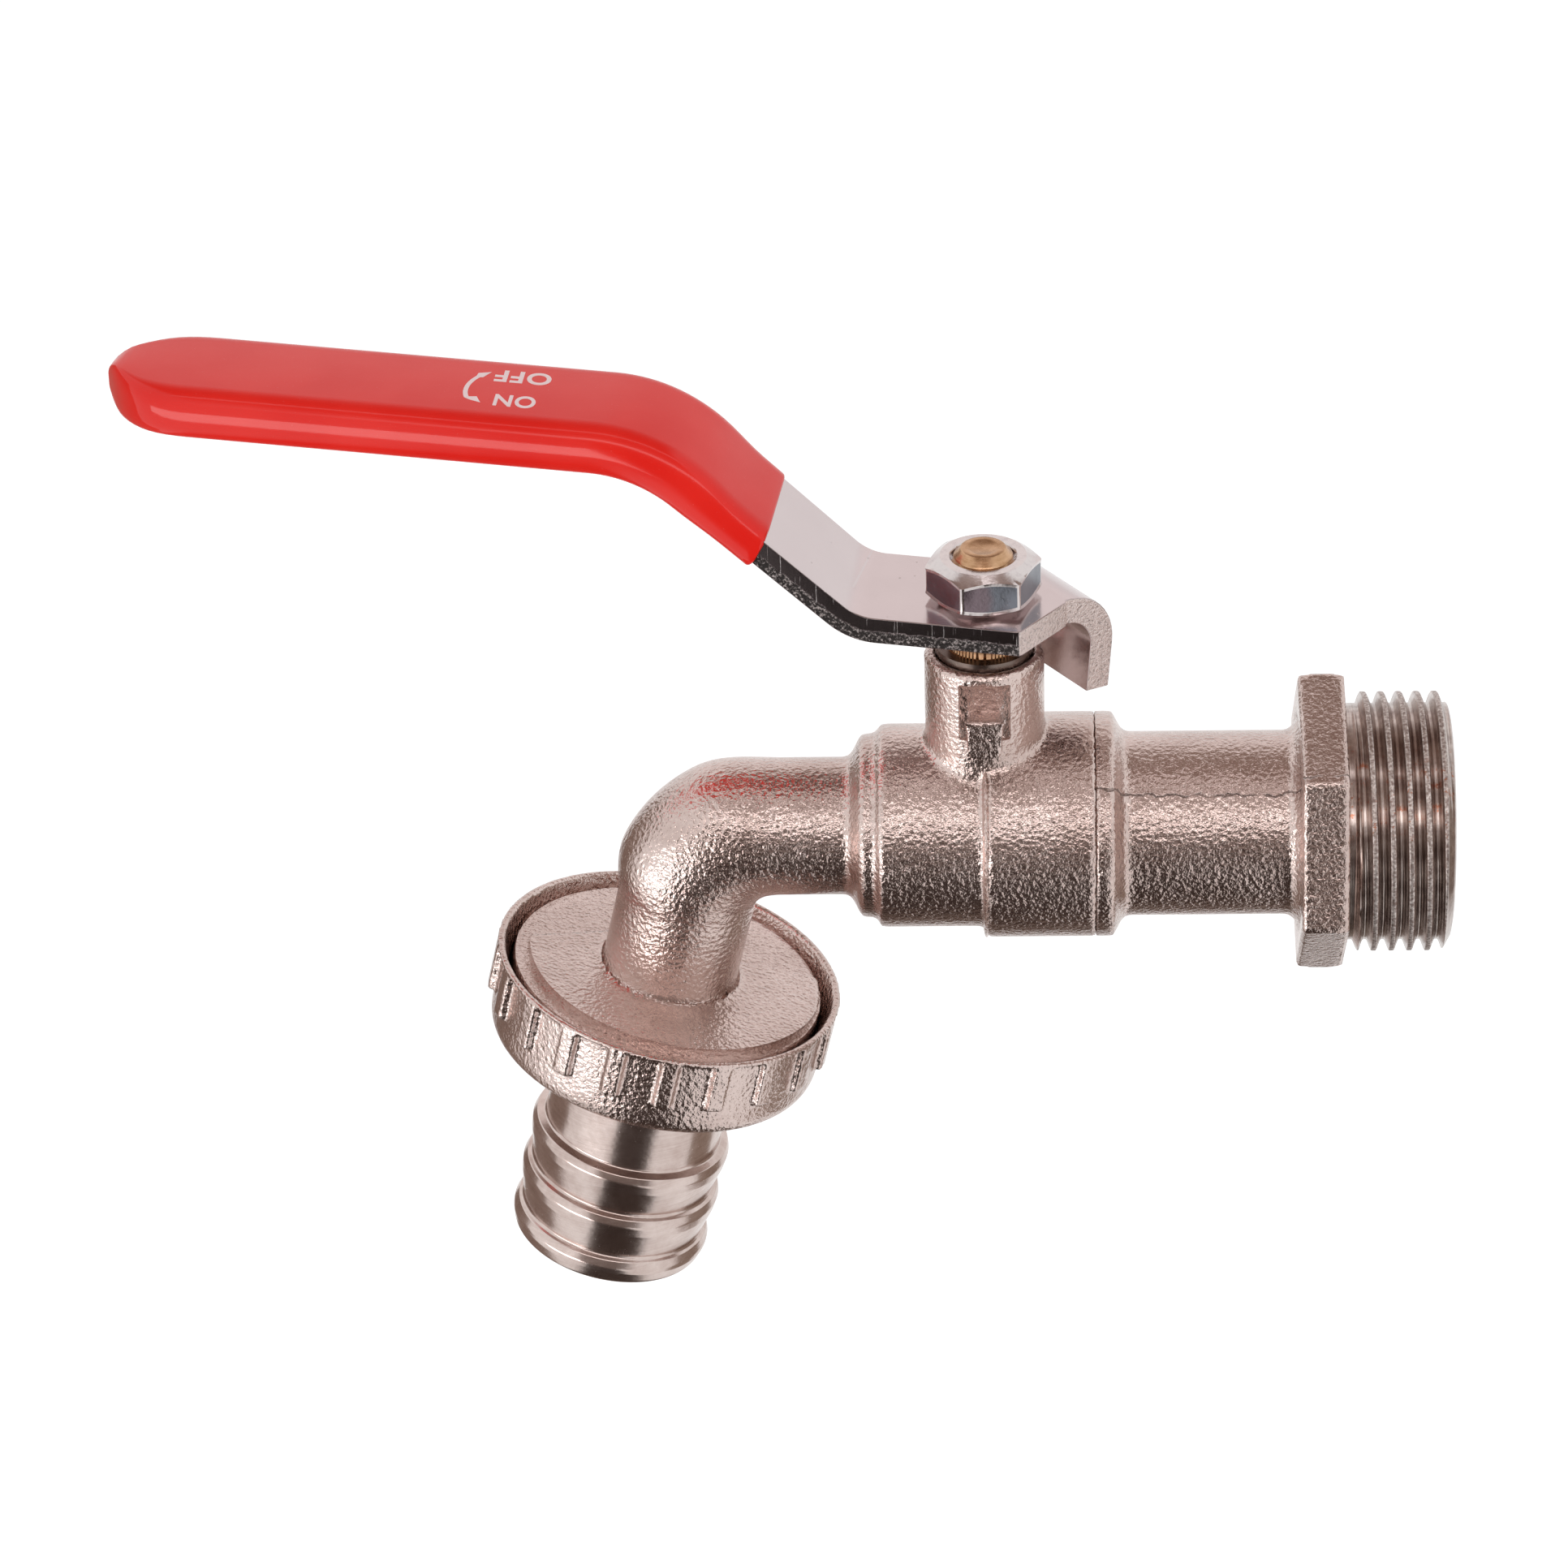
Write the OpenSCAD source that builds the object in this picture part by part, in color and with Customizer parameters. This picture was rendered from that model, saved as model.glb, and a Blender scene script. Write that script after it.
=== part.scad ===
/* [Inlet] */
// Outside diameter of the male inlet thread
inlet_thread_d = 26.44; // [24:0.02:30]
// Length of the inlet thread at full diameter
inlet_thread_len = 8.6; // [6:0.1:14]
// Length of the chamfer on the end of the inlet thread
inlet_chamfer = 0.9; // [0.4:0.1:1.4]
// Length of the relief between the thread and the hexagon
relief_len = 1.3; // [0.6:0.1:2.5]
// Depth of the thread, which the relief is cut to
thread_depth = 1.16; // [0.6:0.02:1.5]
// Size of the inlet hexagon across its flats
hex_af = 27; // [26:0.5:34]
// Thickness of the inlet hexagon
hex_len = 4.4; // [3:0.1:8]
// Outside diameter of the connector tube
tube_d = 18.8; // [17.6:0.1:21]
// Length of the connector tube between its collar and its foot
tube_len = 16.9; // [8:0.1:40]
// Bore of the connector tube
tube_bore_d = 13.6; // [10:0.1:15]
// Bore of the connector at the inlet end
inlet_bore_d = 19.6; // [16:0.1:21]
// Depth of the wide bore at the inlet end
inlet_bore_len = 13; // [6:0.5:16]

/* [Housing] */
// Diameter of the housing round the ball on the spout side
housing_d = 20.8; // [19.4:0.1:24]
// Diameter of the housing and collar round the connector's nose
collar_d = 23; // [22.4:0.1:27]
// Length of the housing from the stem to the seam
seam_x = 11.1; // [10.4:0.1:14]
// Width of the connector's collar at full diameter
collar_len = 1.8; // [1:0.1:4]
// Length of the housing from the stem to the spout collar
housing_len = 10.7; // [10:0.1:14]
// Diameter of the spout collar
spout_collar_d = 18.8; // [17:0.1:20]
// Width of the spout collar
spout_collar_len = 2; // [1:0.1:4]
// Length of the cones where the collars run down to the tubes
cone_len = 1.1; // [0.6:0.1:2]
// Width of the step between the housing's two diameters
housing_step = 0.45; // [0.2:0.05:1]
// Inside diameter of the housing round the ball
cavity_d = 16.4; // [15.8:0.1:17]
// Diameter of the nose thread of the connector
nose_d = 19.2; // [18.8:0.1:20]
// Distance from the stem to the shoulder that the body seal rests on
nose_x = 5; // [4.9:0.1:5.4]

/* [Neck] */
// Outside diameter of the neck
neck_d = 12.1; // [11.6:0.1:14]
// Height of the neck's rim above the waterway axis
neck_top = 20.7; // [19.4:0.1:24]
// Bevel on the neck's rim
rim_bevel = 0.5; // [0.2:0.1:0.8]
// Diameter of the packing chamber
chamber_d = 9.9; // [9.4:0.05:10.3]
// Height of the packing chamber's floor above the waterway axis
chamber_floor = 14.2; // [13.4:0.1:14.6]
// Width of the pocket round each stop lug
pocket_w = 5; // [4.6:0.1:6]
// Depth of the pocket in the neck's wall
pocket_depth = 0.4; // [0.1:0.05:0.5]
// Height of the top of the pocket above the waterway axis
pocket_top = 19.5; // [18.6:0.1:20]
// Width of a stop lug at its top
lug_w = 4.1; // [3:0.1:4.4]
// Width of a stop lug at its foot
lug_foot_w = 3.2; // [2.4:0.1:4]
// Height of a stop lug
lug_h = 4.4; // [3:0.1:6]
// Height of the top of the stop lugs above the waterway axis
lug_top = 18; // [17.6:0.1:18.4]
// Distance from the stem axis to the face of a stop lug
lug_reach = 10.4; // [10:0.1:11.4]

/* [Spout] */
// Outside diameter of the spout
spout_d = 14.2; // [13:0.1:16]
// Bore of the spout
spout_bore_d = 10.6; // [8:0.1:11]
// Distance from the stem axis to where the outlet axis meets the waterway axis
spout_reach = 28.9; // [26:0.1:50]
// Tilt of the outlet axis away from the vertical
outlet_tilt = 13.2; // [5:0.1:20]
// Radius of the spout's bend at its centre line
bend_r = 9; // [8.2:0.1:11]
// Distance along the outlet axis down to the outlet flange
flange_drop = 17.7; // [15:0.1:30]
// Diameter of the outlet flange and its union thread
flange_d = 32.4; // [31:0.1:34]
// Height of the outlet flange with its union thread
flange_h = 4.4; // [3.6:0.1:8]
// Bevel on the flange's edges
flange_bevel = 0.5; // [0.2:0.1:1]

/* [Union] */
// Distance that the union nut's rim stands over the flange
nut_rise = 0.5; // [0:0.1:1.5]
// Thickness of the union nut's wall from its thread to its rim
nut_wall = 1.75; // [1.6:0.05:3]
// Depth of the flutes between the union nut's ribs
flute_depth = 0.6; // [0.2:0.05:0.7]
// Number of ribs round the union nut
rib_count = 20; // [8:1:24]
// Width of a rib
rib_w = 2; // [1.2:0.1:2.6]
// Length of the ribs, from the rim down
rib_len = 5.9; // [3:0.1:6.6]
// Height of the union nut's rim band
rim_band = 0.7; // [0.3:0.1:1.2]
// Thickness of the union nut's inner lip
lip_h = 1.75; // [1.2:0.05:3]
// Radius of the rounding at the union nut's foot
nut_foot_r = 2.2; // [1:0.1:2.6]
// Depth of the wide mouth at the union nut's rim
mouth_depth = 1.2; // [0.6:0.1:2]
// Thickness of the hose washer
hose_washer_h = 1.6; // [1:0.1:3]
// Thickness of the hose tail's flange
tail_flange_h = 1.4; // [1:0.1:3]
// Play round the union thread
union_play = 0.15; // [0.1:0.05:0.3]
// Gap between the union's flat faces
face_gap = 0.05; // [0.02:0.01:0.1]

/* [Hose tail] */
// Outside diameter of the hose tail between the union nut and the barbs
tail_d = 18.6; // [17:0.1:19.4]
// Bore of the hose tail
tail_bore_d = 14.6; // [12:0.1:15.6]
// Diameter over the barbs
barb_d = 20.2; // [19.6:0.1:22]
// Distance from one barb to the next
barb_pitch = 5.4; // [5:0.1:7]
// Number of barbs
barb_count = 3; // [2:1:5]
// Length of the plain tail under the union nut
tail_neck_len = 10; // [4:0.1:16]
// Play between the hose tail and the union nut's lip
tail_play = 0.4; // [0.2:0.05:0.8]

/* [Ball and seats] */
// Diameter of the ball
ball_d = 14.8; // [14.4:0.1:15.2]
// Bore of the ball
ball_bore_d = 9.2; // [7:0.1:9.8]
// Bore of the seat rings
seat_bore_d = 9.6; // [8.4:0.1:10]
// Distance from the stem axis to the back of the seat rings
seat_back = 9.2; // [8.8:0.1:9.6]
// Distance from the stem axis to the front of the seat rings
seat_front = 5; // [4.7:0.1:5.4]
// Thickness of the body seal
body_seal_h = 0.8; // [0.5:0.1:1]
// Running clearance of the turning parts
run_gap = 0.06; // [0.03:0.01:0.1]

/* [Stem] */
// Diameter of the stem in the packing
stem_d = 7; // [6.6:0.1:7.2]
// Thread diameter of the stem's top
stem_thread_d = 6; // [5.6:0.1:6.2]
// Diameter of the stem's inner collar
stem_collar_d = 9; // [8.4:0.1:9.4]
// Thickness of the stem's inner collar
stem_collar_h = 1.4; // [1:0.1:1.6]
// Height of the underside of the stem's inner collar above the waterway axis
stem_collar_z = 7.6; // [7.6:0.1:7.9]
// Width of the stem's tang across its flats
tang_t = 3; // [2.4:0.1:3.4]
// Length of the stem's tang along the ball's slot
tang_w = 6.4; // [5:0.1:7]
// Depth of the tang below the stem's inner collar
tang_h = 2; // [1.4:0.1:2.2]
// Width across the two flats that carry the lever
stem_flats = 4.6; // [4:0.1:5]
// Diameter of the shoulder that the lever rests on
shoulder_d = 7.4; // [7:0.1:8]
// Distance that the stem's end stands over its nut
stem_proud = 0.7; // [0.2:0.1:1.5]
// Thickness of the thrust washer
thrust_h = 1; // [0.6:0.1:1.2]
// Section diameter of the stem's sealing ring
o_ring_d = 1.1; // [0.9:0.05:1.2]
// Height of the sealing ring above the waterway axis
o_ring_z = 12.2; // [11.8:0.1:12.6]
// Height of each packing ring
packing_h = 1.6; // [1.2:0.1:1.8]
// Height of the gland nut
gland_h = 4; // [3.4:0.1:5]
// Width of the gland nut's key slot
gland_slot_w = 1.6; // [1:0.1:2]
// Depth of the gland nut's key slot
gland_slot_h = 1; // [0.6:0.1:1.4]

/* [Lever] */
// Angle that the lever is turned away from fully open
lever_turned = 12; // [0:1:90]
// Thickness of the lever's steel
lever_t = 2.8; // [2.2:0.1:3]
// Width of the lever's steel
lever_w = 13.7; // [12:0.1:15]
// Height of the lever's underside above the waterway axis
lever_z = 23.9; // [23:0.1:26]
// Distance from the stem axis to the lever's first bend
first_bend_x = 11.9; // [11:0.1:16]
// Rise from the lever's base to its handle
handle_rise = 17.1; // [14:0.1:26]
// Slope of the lever between its bends
slope = 39; // [25:0.5:50]
// Radius of the first bend at the middle of the steel
first_bend_r = 6.4; // [4:0.1:8]
// Radius of the second bend at the middle of the steel
second_bend_r = 16; // [8:0.5:20]
// Distance from the stem axis to the end of the grip
lever_reach = 90.8; // [70:0.5:140]
// Angle between the lever's axis and the way its tab faces
tab_turn = 48; // [44:1:50]
// Distance from the stem axis to the tab's inner face
tab_in = 8.4; // [8:0.1:8.6]
// Inner radius of the tab's fold
tab_fold_r = 3; // [1.5:0.1:4]
// Height of the tab's lower edge above the waterway axis
tab_z = 16.9; // [16.6:0.1:17.2]
// Clearance between the tab and a stop lug at the end of the travel
stop_gap = 0.15; // [0.1:0.05:0.3]
// Distance from the stem axis to the near corner of the lever's tail
tail_corner_x = 5.1; // [4.6:0.1:6.5]
// Size of the lever nut across its flats
nut_af = 10; // [9:0.1:11]
// Height of the lever nut
nut_h = 4.8; // [4:0.1:6]
// Angle that the lever nut is turned
nut_turn = 8; // [0:1:59]

/* [Grip] */
// Width of the grip sleeve
grip_w = 14.8; // [14.4:0.1:18]
// Thickness of the grip sleeve
grip_t = 5.6; // [5:0.1:8]
// Radius of the grip's rounded edges
grip_r = 2.4; // [1:0.1:2.5]
// Distance from the lever's first bend up the slope to the grip's open mouth
mouth_up = 11.8; // [6:0.1:13]
// Length of the grip's tapered end
grip_end_len = 9; // [6:0.1:14]
// Radius of the grip's end seen from above
grip_end_r = 4.2; // [3.6:0.1:6]
// Gap between the grip and the steel
grip_gap = 0.05; // [0.02:0.01:0.2]

/* [Hidden] */
$fn = 96;
eps = 0.01;

nickel = [0.78, 0.73, 0.70];
brass = [0.80, 0.62, 0.30];
ptfe = [0.93, 0.93, 0.90];
rubber = [0.12, 0.12, 0.12];

thread_r = inlet_thread_d / 2;
tube_r = tube_d / 2;
collar_r = collar_d / 2;
seam_bevel = 0.15;
rim_edge = 0.2;
first_rib = -87;
foot_len = 1.1;
foot_rise = 1.4;
collar_end_x = seam_x + collar_len + cone_len;
hex_x = collar_end_x + tube_len + foot_len;
shoulder_x = hex_x + hex_len;
thread_x = shoulder_x + relief_len;
thread_end_x = thread_x + inlet_thread_len;
inlet_end_x = thread_end_x + inlet_chamfer;
stem_at = [-thread_x, 0, 0];
nose_r = nose_d / 2;
nose_tip_x = nose_x + body_seal_h;
seat_r = cavity_d / 2 - run_gap;
nose_pocket_r = cavity_d / 2;
nose_gap = 0.05;

bend_angle = 90 - outlet_tilt;
bend_tangent = bend_r * tan(bend_angle / 2);
bend_ledge = 0.05;
bend_lap = 0.5;
flange_r = flange_d / 2;
flange_face = flange_drop + flange_h;
washer_top = flange_face + face_gap;
tail_flange_top = washer_top + hose_washer_h + face_gap;
lip_top = tail_flange_top + tail_flange_h + face_gap;
nut_foot = lip_top + lip_h;
nut_rim = flange_drop - nut_rise;
union_bore_r = flange_r + union_play;
nut_r = union_bore_r + nut_wall;
end_len = 3.4;
crest_end = 1.9;
first_barb = nut_foot + tail_neck_len;
last_barb = first_barb + (barb_count - 1) * barb_pitch;
tail_end = last_barb + end_len;

lever_mid = lever_z + lever_t / 2;
lever_top = lever_z + lever_t;
handle_mid = lever_mid + handle_rise;
second_bend_x = first_bend_x + handle_rise / tan(slope);
first_tangent = first_bend_r * tan(slope / 2);
second_tangent = second_bend_r * tan(slope / 2);
bend_steps = 10;
grip_steps = 5;
corner_steps = 4;
end_steps = 5;
grip_full_x = lever_reach - grip_end_len;
tab_fold_x = tab_in - tab_fold_r;
fold_lap = 0.3;
tail_len = 6;
strip_start = -4;
stop_x = lug_w / 2 + stop_gap;
tab_far = (tab_in * cos(tab_turn) - stop_x) / sin(tab_turn);
tab_near = -(tab_in * sin(tab_turn) - stop_x) / cos(tab_turn);
nut_top = lever_top + nut_h;
neck_bore_r = stem_d / 2 + run_gap;
thrust_z = stem_collar_z + stem_collar_h;
collar_bore_top = thrust_z + thrust_h + run_gap;
gland_z = chamber_floor + 2 * packing_h;
gland_top = gland_z + gland_h;
press_gap = 0.03;

// A solid turned about the waterway axis, from points of distance along the axis and radius
module turned_x(points) {
    rotate([0, 90, 0])
        rotate_extrude()
            polygon([for (p = points) [p[1], p[0]]]);
}

// A plain cylinder along the waterway axis between two stations
module rod_x(r, x0, x1) {
    translate([x0, 0, 0])
        rotate([0, 90, 0])
            cylinder(r = r, h = x1 - x0);
}

// A ring about the stem axis
module ring_z(outer, inner, z0, h) {
    translate([0, 0, z0])
        difference() {
            cylinder(r = outer, h = h);
            translate([0, 0, -eps]) cylinder(r = inner, h = h + 2 * eps);
        }
}

// Places its children with their vertical on the outlet axis, pointing up the spout
module at_outlet() {
    translate([-spout_reach, 0, 0])
        rotate([0, outlet_tilt, 0])
            children();
}

// A cylinder on the outlet axis between two distances down it
module rod_outlet(r, top, bottom) {
    translate([0, 0, -bottom]) cylinder(r = r, h = bottom - top);
}

// A solid turned about the outlet axis, from points of radius and distance down the axis
module turned_outlet(points) {
    rotate_extrude()
        polygon([for (p = points) [p[0], -p[1]]]);
}

// The spout's path at one radius, from a station on the waterway axis down to the flange
module spout_run(r, x_start, drop) {
    bend_x = -spout_reach + bend_tangent;
    rod_x(r - bend_ledge, bend_x - bend_lap, x_start);
    translate([bend_x, 0, -bend_r])
        rotate([90, 0, 0])
            rotate_extrude(angle = bend_angle, start = 90)
                translate([bend_r, 0]) circle(r = r);
    at_outlet() rod_outlet(r - bend_ledge, bend_tangent - bend_lap, drop);
}

// The housing's outside round the waterway axis
module housing_outside() {
    cone_x = -housing_len - spout_collar_len - cone_len;
    bevel = housing_step;
    turned_x([[cone_x, 0], [cone_x, spout_d / 2], [cone_x + cone_len, spout_collar_d / 2],
        [-housing_len - bevel, spout_collar_d / 2], [-housing_len, housing_d / 2],
        [-bevel / 2, housing_d / 2], [bevel / 2, collar_r], [seam_x - seam_bevel, collar_r],
        [seam_x, collar_r - seam_bevel], [seam_x, 0]]);
}

// One stop lug and the pocket round it face the front and the back of the neck
module stop_lug() {
    rotate([90, 0, 0])
        translate([0, 0, neck_d / 2 - 1])
            linear_extrude(lug_reach - neck_d / 2 + 1)
                polygon([[-lug_w / 2, lug_top], [lug_w / 2, lug_top],
                    [lug_foot_w / 2, lug_top - lug_h], [-lug_foot_w / 2, lug_top - lug_h]]);
}

module lug_pocket() {
    translate([-pocket_w / 2, -neck_d, lug_top - lug_h])
        cube([pocket_w, neck_d / 2 + pocket_depth, pocket_top - lug_top + lug_h]);
}

module neck_outside() {
    difference() {
        union() {
            cylinder(r = neck_d / 2, h = neck_top - rim_bevel);
            translate([0, 0, neck_top - rim_bevel])
                cylinder(r1 = neck_d / 2, r2 = neck_d / 2 - rim_bevel, h = rim_bevel);
        }
        for (side = [0, 180]) rotate([0, 0, side]) lug_pocket();
    }
    for (side = [0, 180]) rotate([0, 0, side]) stop_lug();
}

module outlet_flange() {
    b = flange_bevel;
    at_outlet()
        turned_outlet([[0, flange_drop], [flange_r - b, flange_drop], [flange_r, flange_drop + b],
            [flange_r, flange_face - b], [flange_r - b, flange_face], [0, flange_face]]);
}

module valve_body() {
    color(nickel)
        translate(stem_at)
            difference() {
                union() {
                    housing_outside();
                    neck_outside();
                    spout_run(spout_d / 2, -housing_len, flange_drop + eps);
                    outlet_flange();
                }
                rod_x(cavity_d / 2, -seat_back, nose_x);
                rod_x(nose_r + nose_gap, nose_x, seam_x + 1);
                spout_run(spout_bore_d / 2, -seat_back + 1, flange_face + 1);
                cylinder(r = stem_collar_d / 2 + 2 * run_gap, h = collar_bore_top);
                cylinder(r = neck_bore_r, h = neck_top);
                translate([0, 0, chamber_floor]) cylinder(r = chamber_d / 2, h = neck_top);
            }
}

// The hexagon with its corners turned down on both faces
module inlet_hexagon() {
    corner_r = hex_af / sqrt(3);
    face_r = hex_af / 2 + 0.3;
    turn = 1;
    intersection() {
        translate([hex_x, 0, 0])
            rotate([0, 90, 0])
                rotate([0, 0, 45])
                    cylinder(r = corner_r, h = hex_len, $fn = 6);
        turned_x([[hex_x, 0], [hex_x, face_r], [hex_x + turn, corner_r],
            [hex_x + hex_len - turn, corner_r], [hex_x + hex_len, face_r], [hex_x + hex_len, 0]]);
    }
}

module connector_outside() {
    cone_x = seam_x + collar_len;
    root_r = thread_r - thread_depth;
    foot_end_x = shoulder_x - foot_len;
    thread_start = 0.3;
    end_r = thread_r - 1.7 * inlet_chamfer;
    turned_x([[nose_tip_x, 0], [nose_tip_x, nose_r], [seam_x, nose_r], [seam_x, collar_r - seam_bevel],
        [seam_x + seam_bevel, collar_r], [cone_x, collar_r], [collar_end_x, tube_r],
        [hex_x - foot_len, tube_r], [hex_x, tube_r + foot_rise], [foot_end_x, tube_r + foot_rise],
        [foot_end_x, root_r], [thread_x - thread_start, root_r], [thread_x, thread_r],
        [thread_end_x, thread_r], [inlet_end_x, end_r], [inlet_end_x, 0]]);
    inlet_hexagon();
}

module inlet_connector() {
    color(nickel)
        translate(stem_at)
            difference() {
                connector_outside();
                rod_x(nose_pocket_r, nose_tip_x - 1, seat_back);
                rod_x(tube_bore_d / 2, seat_back - 1, inlet_end_x + 1);
                rod_x(inlet_bore_d / 2, inlet_end_x - inlet_bore_len, inlet_end_x + 1);
            }
}

module body_seal() {
    color(ptfe)
        translate(stem_at)
            difference() {
                rod_x(nose_r, nose_x, nose_tip_x);
                rod_x(nose_pocket_r, nose_x - 1, nose_tip_x + 1);
            }
}

// A seat ring on the spout side, with the ball's form in its front
module seat_ring() {
    difference() {
        rod_x(seat_r, -seat_back, -seat_front);
        rod_x(seat_bore_d / 2, -seat_back - 1, 0);
        sphere(r = ball_d / 2 + run_gap);
    }
}

module outlet_seat() {
    color(ptfe) translate(stem_at) seat_ring();
}

module inlet_seat() {
    color(ptfe) translate(stem_at) mirror([1, 0, 0]) seat_ring();
}

module thrust_washer() {
    color(ptfe)
        translate(stem_at)
            ring_z(stem_collar_d / 2, neck_bore_r, thrust_z + run_gap / 2, thrust_h);
}

module packing_ring(z) {
    color(ptfe)
        translate(stem_at)
            ring_z(chamber_d / 2 - press_gap, neck_bore_r, z, packing_h);
}

module packing_lower() {
    packing_ring(chamber_floor);
}

module packing_upper() {
    packing_ring(chamber_floor + packing_h);
}

module gland_nut() {
    color(brass)
        translate(stem_at)
            difference() {
                ring_z(chamber_d / 2 - press_gap, shoulder_d / 2 + run_gap, gland_z, gland_h);
                translate([-chamber_d, -gland_slot_w / 2, gland_top - gland_slot_h])
                    cube([2 * chamber_d, gland_slot_w, 2 * gland_slot_h]);
            }
}

// Turns what moves with the stem by the lever's angle
module with_stem() {
    translate(stem_at)
        rotate([0, 0, -lever_turned])
            children();
}

module ball() {
    slot_gap = 0.1;
    slot_floor = stem_collar_z - tang_h - slot_gap;
    color(nickel)
        with_stem()
            difference() {
                sphere(r = ball_d / 2);
                rod_x(ball_bore_d / 2, -ball_d, ball_d);
                translate([-ball_d / 2, -tang_t / 2 - slot_gap, slot_floor])
                    cube([ball_d, tang_t + 2 * slot_gap, ball_d]);
            }
}

// Cuts a round bar down to two flats
module two_flats(r, flats, h) {
    intersection() {
        cylinder(r = r, h = h);
        translate([-r - 1, -flats / 2, 0]) cube([2 * r + 2, flats, h]);
    }
}

module stem() {
    groove_r = neck_bore_r - run_gap - o_ring_d;
    tip_bevel = 0.8;
    shoulder_start = 0.5;
    stem_end = nut_top + stem_proud;
    color(brass)
        with_stem()
            difference() {
                union() {
                    translate([-tang_w / 2, -tang_t / 2, stem_collar_z - tang_h])
                        cube([tang_w, tang_t, tang_h + eps]);
                    translate([0, 0, stem_collar_z]) cylinder(r = stem_collar_d / 2, h = stem_collar_h);
                    cylinder_between(stem_d / 2, stem_collar_z, gland_z + 2 * shoulder_start);
                    cylinder_between(shoulder_d / 2, gland_z + shoulder_start, lever_z);
                    translate([0, 0, lever_z])
                        two_flats(stem_thread_d / 2, stem_flats, lever_t);
                    cylinder_between(stem_thread_d / 2, lever_top, stem_end - tip_bevel);
                    translate([0, 0, stem_end - tip_bevel])
                        cylinder(r1 = stem_thread_d / 2, r2 = stem_thread_d / 2 - tip_bevel, h = tip_bevel);
                }
                ring_z(stem_d, groove_r, o_ring_z - o_ring_d / 2 - run_gap, o_ring_d + 2 * run_gap);
            }
}

// A cylinder on the stem axis between two heights
module cylinder_between(r, z0, z1) {
    translate([0, 0, z0]) cylinder(r = r, h = z1 - z0);
}

module stem_o_ring() {
    color(rubber)
        with_stem()
            translate([0, 0, o_ring_z])
                rotate_extrude()
                    translate([neck_bore_r - run_gap - o_ring_d / 2, 0]) circle(d = o_ring_d, $fn = 32);
}

// Points of an arc about a centre, from one angle to another
function arc(centre, r, from, to, steps) =
    [for (i = [0:steps]) let (a = from + (to - from) * i / steps) centre + r * [cos(a), sin(a)]];

// The side view of a strip that lies a distance off the middle of the steel, from base to handle
function crank_line(off, start_x, end_x) = concat(
    [[start_x, lever_mid + off]],
    arc([first_tangent - first_bend_x, lever_mid + first_bend_r], first_bend_r - off, 270, 270 - slope, bend_steps),
    arc([-second_bend_x - second_tangent, handle_mid - second_bend_r], second_bend_r + off, 90 - slope, 90,
        bend_steps),
    [[end_x, handle_mid + off]]);

// A cranked strip of one thickness and width
module cranked_strip(t, w, start_x, end_x) {
    upper = crank_line(t / 2, start_x, end_x);
    lower = crank_line(-t / 2, start_x, end_x);
    last = len(lower) - 1;
    translate([0, w / 2, 0])
        rotate([90, 0, 0])
            linear_extrude(w)
                polygon(concat(upper, [for (i = [0:last]) lower[last - i]]));
}

// A place on the flat tail, from its distance short of the fold and its distance along it
function by_fold(short, along) = (tab_fold_x - short) * [cos(tab_turn), sin(tab_turn)]
    + along * [-sin(tab_turn), cos(tab_turn)];

// The lever's tail from above, with its slanted end up to the tab's fold
module lever_tail() {
    edge = lever_w / 2 - eps;
    lap = fold_lap / 2;
    translate([0, 0, lever_z + eps])
        linear_extrude(lever_t - 2 * eps)
            polygon([[-tail_len, -edge], [tail_corner_x, -edge], by_fold(lap, tab_near + lap),
                by_fold(lap, tab_far - lap), [min(by_fold(lap, tab_far)[0], 0) - fold_lap, edge],
                [-tail_len, edge]]);
}

// The folded strip that comes down from the tail as the stop tab
module lever_tab() {
    centre = [tab_fold_x, lever_z - tab_fold_r];
    rotate([0, 0, tab_turn])
        translate([0, tab_far, 0])
            rotate([90, 0, 0])
                linear_extrude(tab_far - tab_near)
                    polygon(concat([[tab_fold_x - fold_lap, lever_top]],
                        arc(centre, tab_fold_r + lever_t, 90, 0, bend_steps),
                        [[tab_in + lever_t, tab_z], [tab_in, tab_z]],
                        arc(centre, tab_fold_r, 0, 90, bend_steps), [[tab_fold_x - fold_lap, lever_z]]));
}

module lever() {
    color([0.75, 0.73, 0.73])
        with_stem()
            difference() {
                union() {
                    cranked_strip(lever_t, lever_w, strip_start, -grip_full_x);
                    lever_tail();
                    lever_tab();
                }
                translate([0, 0, lever_z - 1])
                    two_flats(stem_thread_d / 2 + press_gap, stem_flats + 2 * press_gap, lever_t + 2);
            }
}

// Points of the grip's section at a place in its side view, sloped, with its width and thickness
function grip_section(at, rise, w, t) =
    let (rw = min(grip_r, w / 2 - press_gap), rt = min(grip_r, t / 2 - press_gap))
    [for (q = [0:3], i = [0:corner_steps])
        let (a = 90 * (q + i / corner_steps),
            u = (q == 0 || q == 3 ? 1 : -1) * (w / 2 - rw) + rw * cos(a),
            v = (q < 2 ? 1 : -1) * (t / 2 - rt) + rt * sin(a))
        [at[0] + v * sin(rise), u, at[1] + v * cos(rise)]];

// The thickness of the grip at a distance from its end
function end_thickness(e) = grip_t - 2 * grip_r + 2 * sqrt(pow(grip_r, 2) - pow(grip_r - min(e, grip_r), 2));

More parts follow.
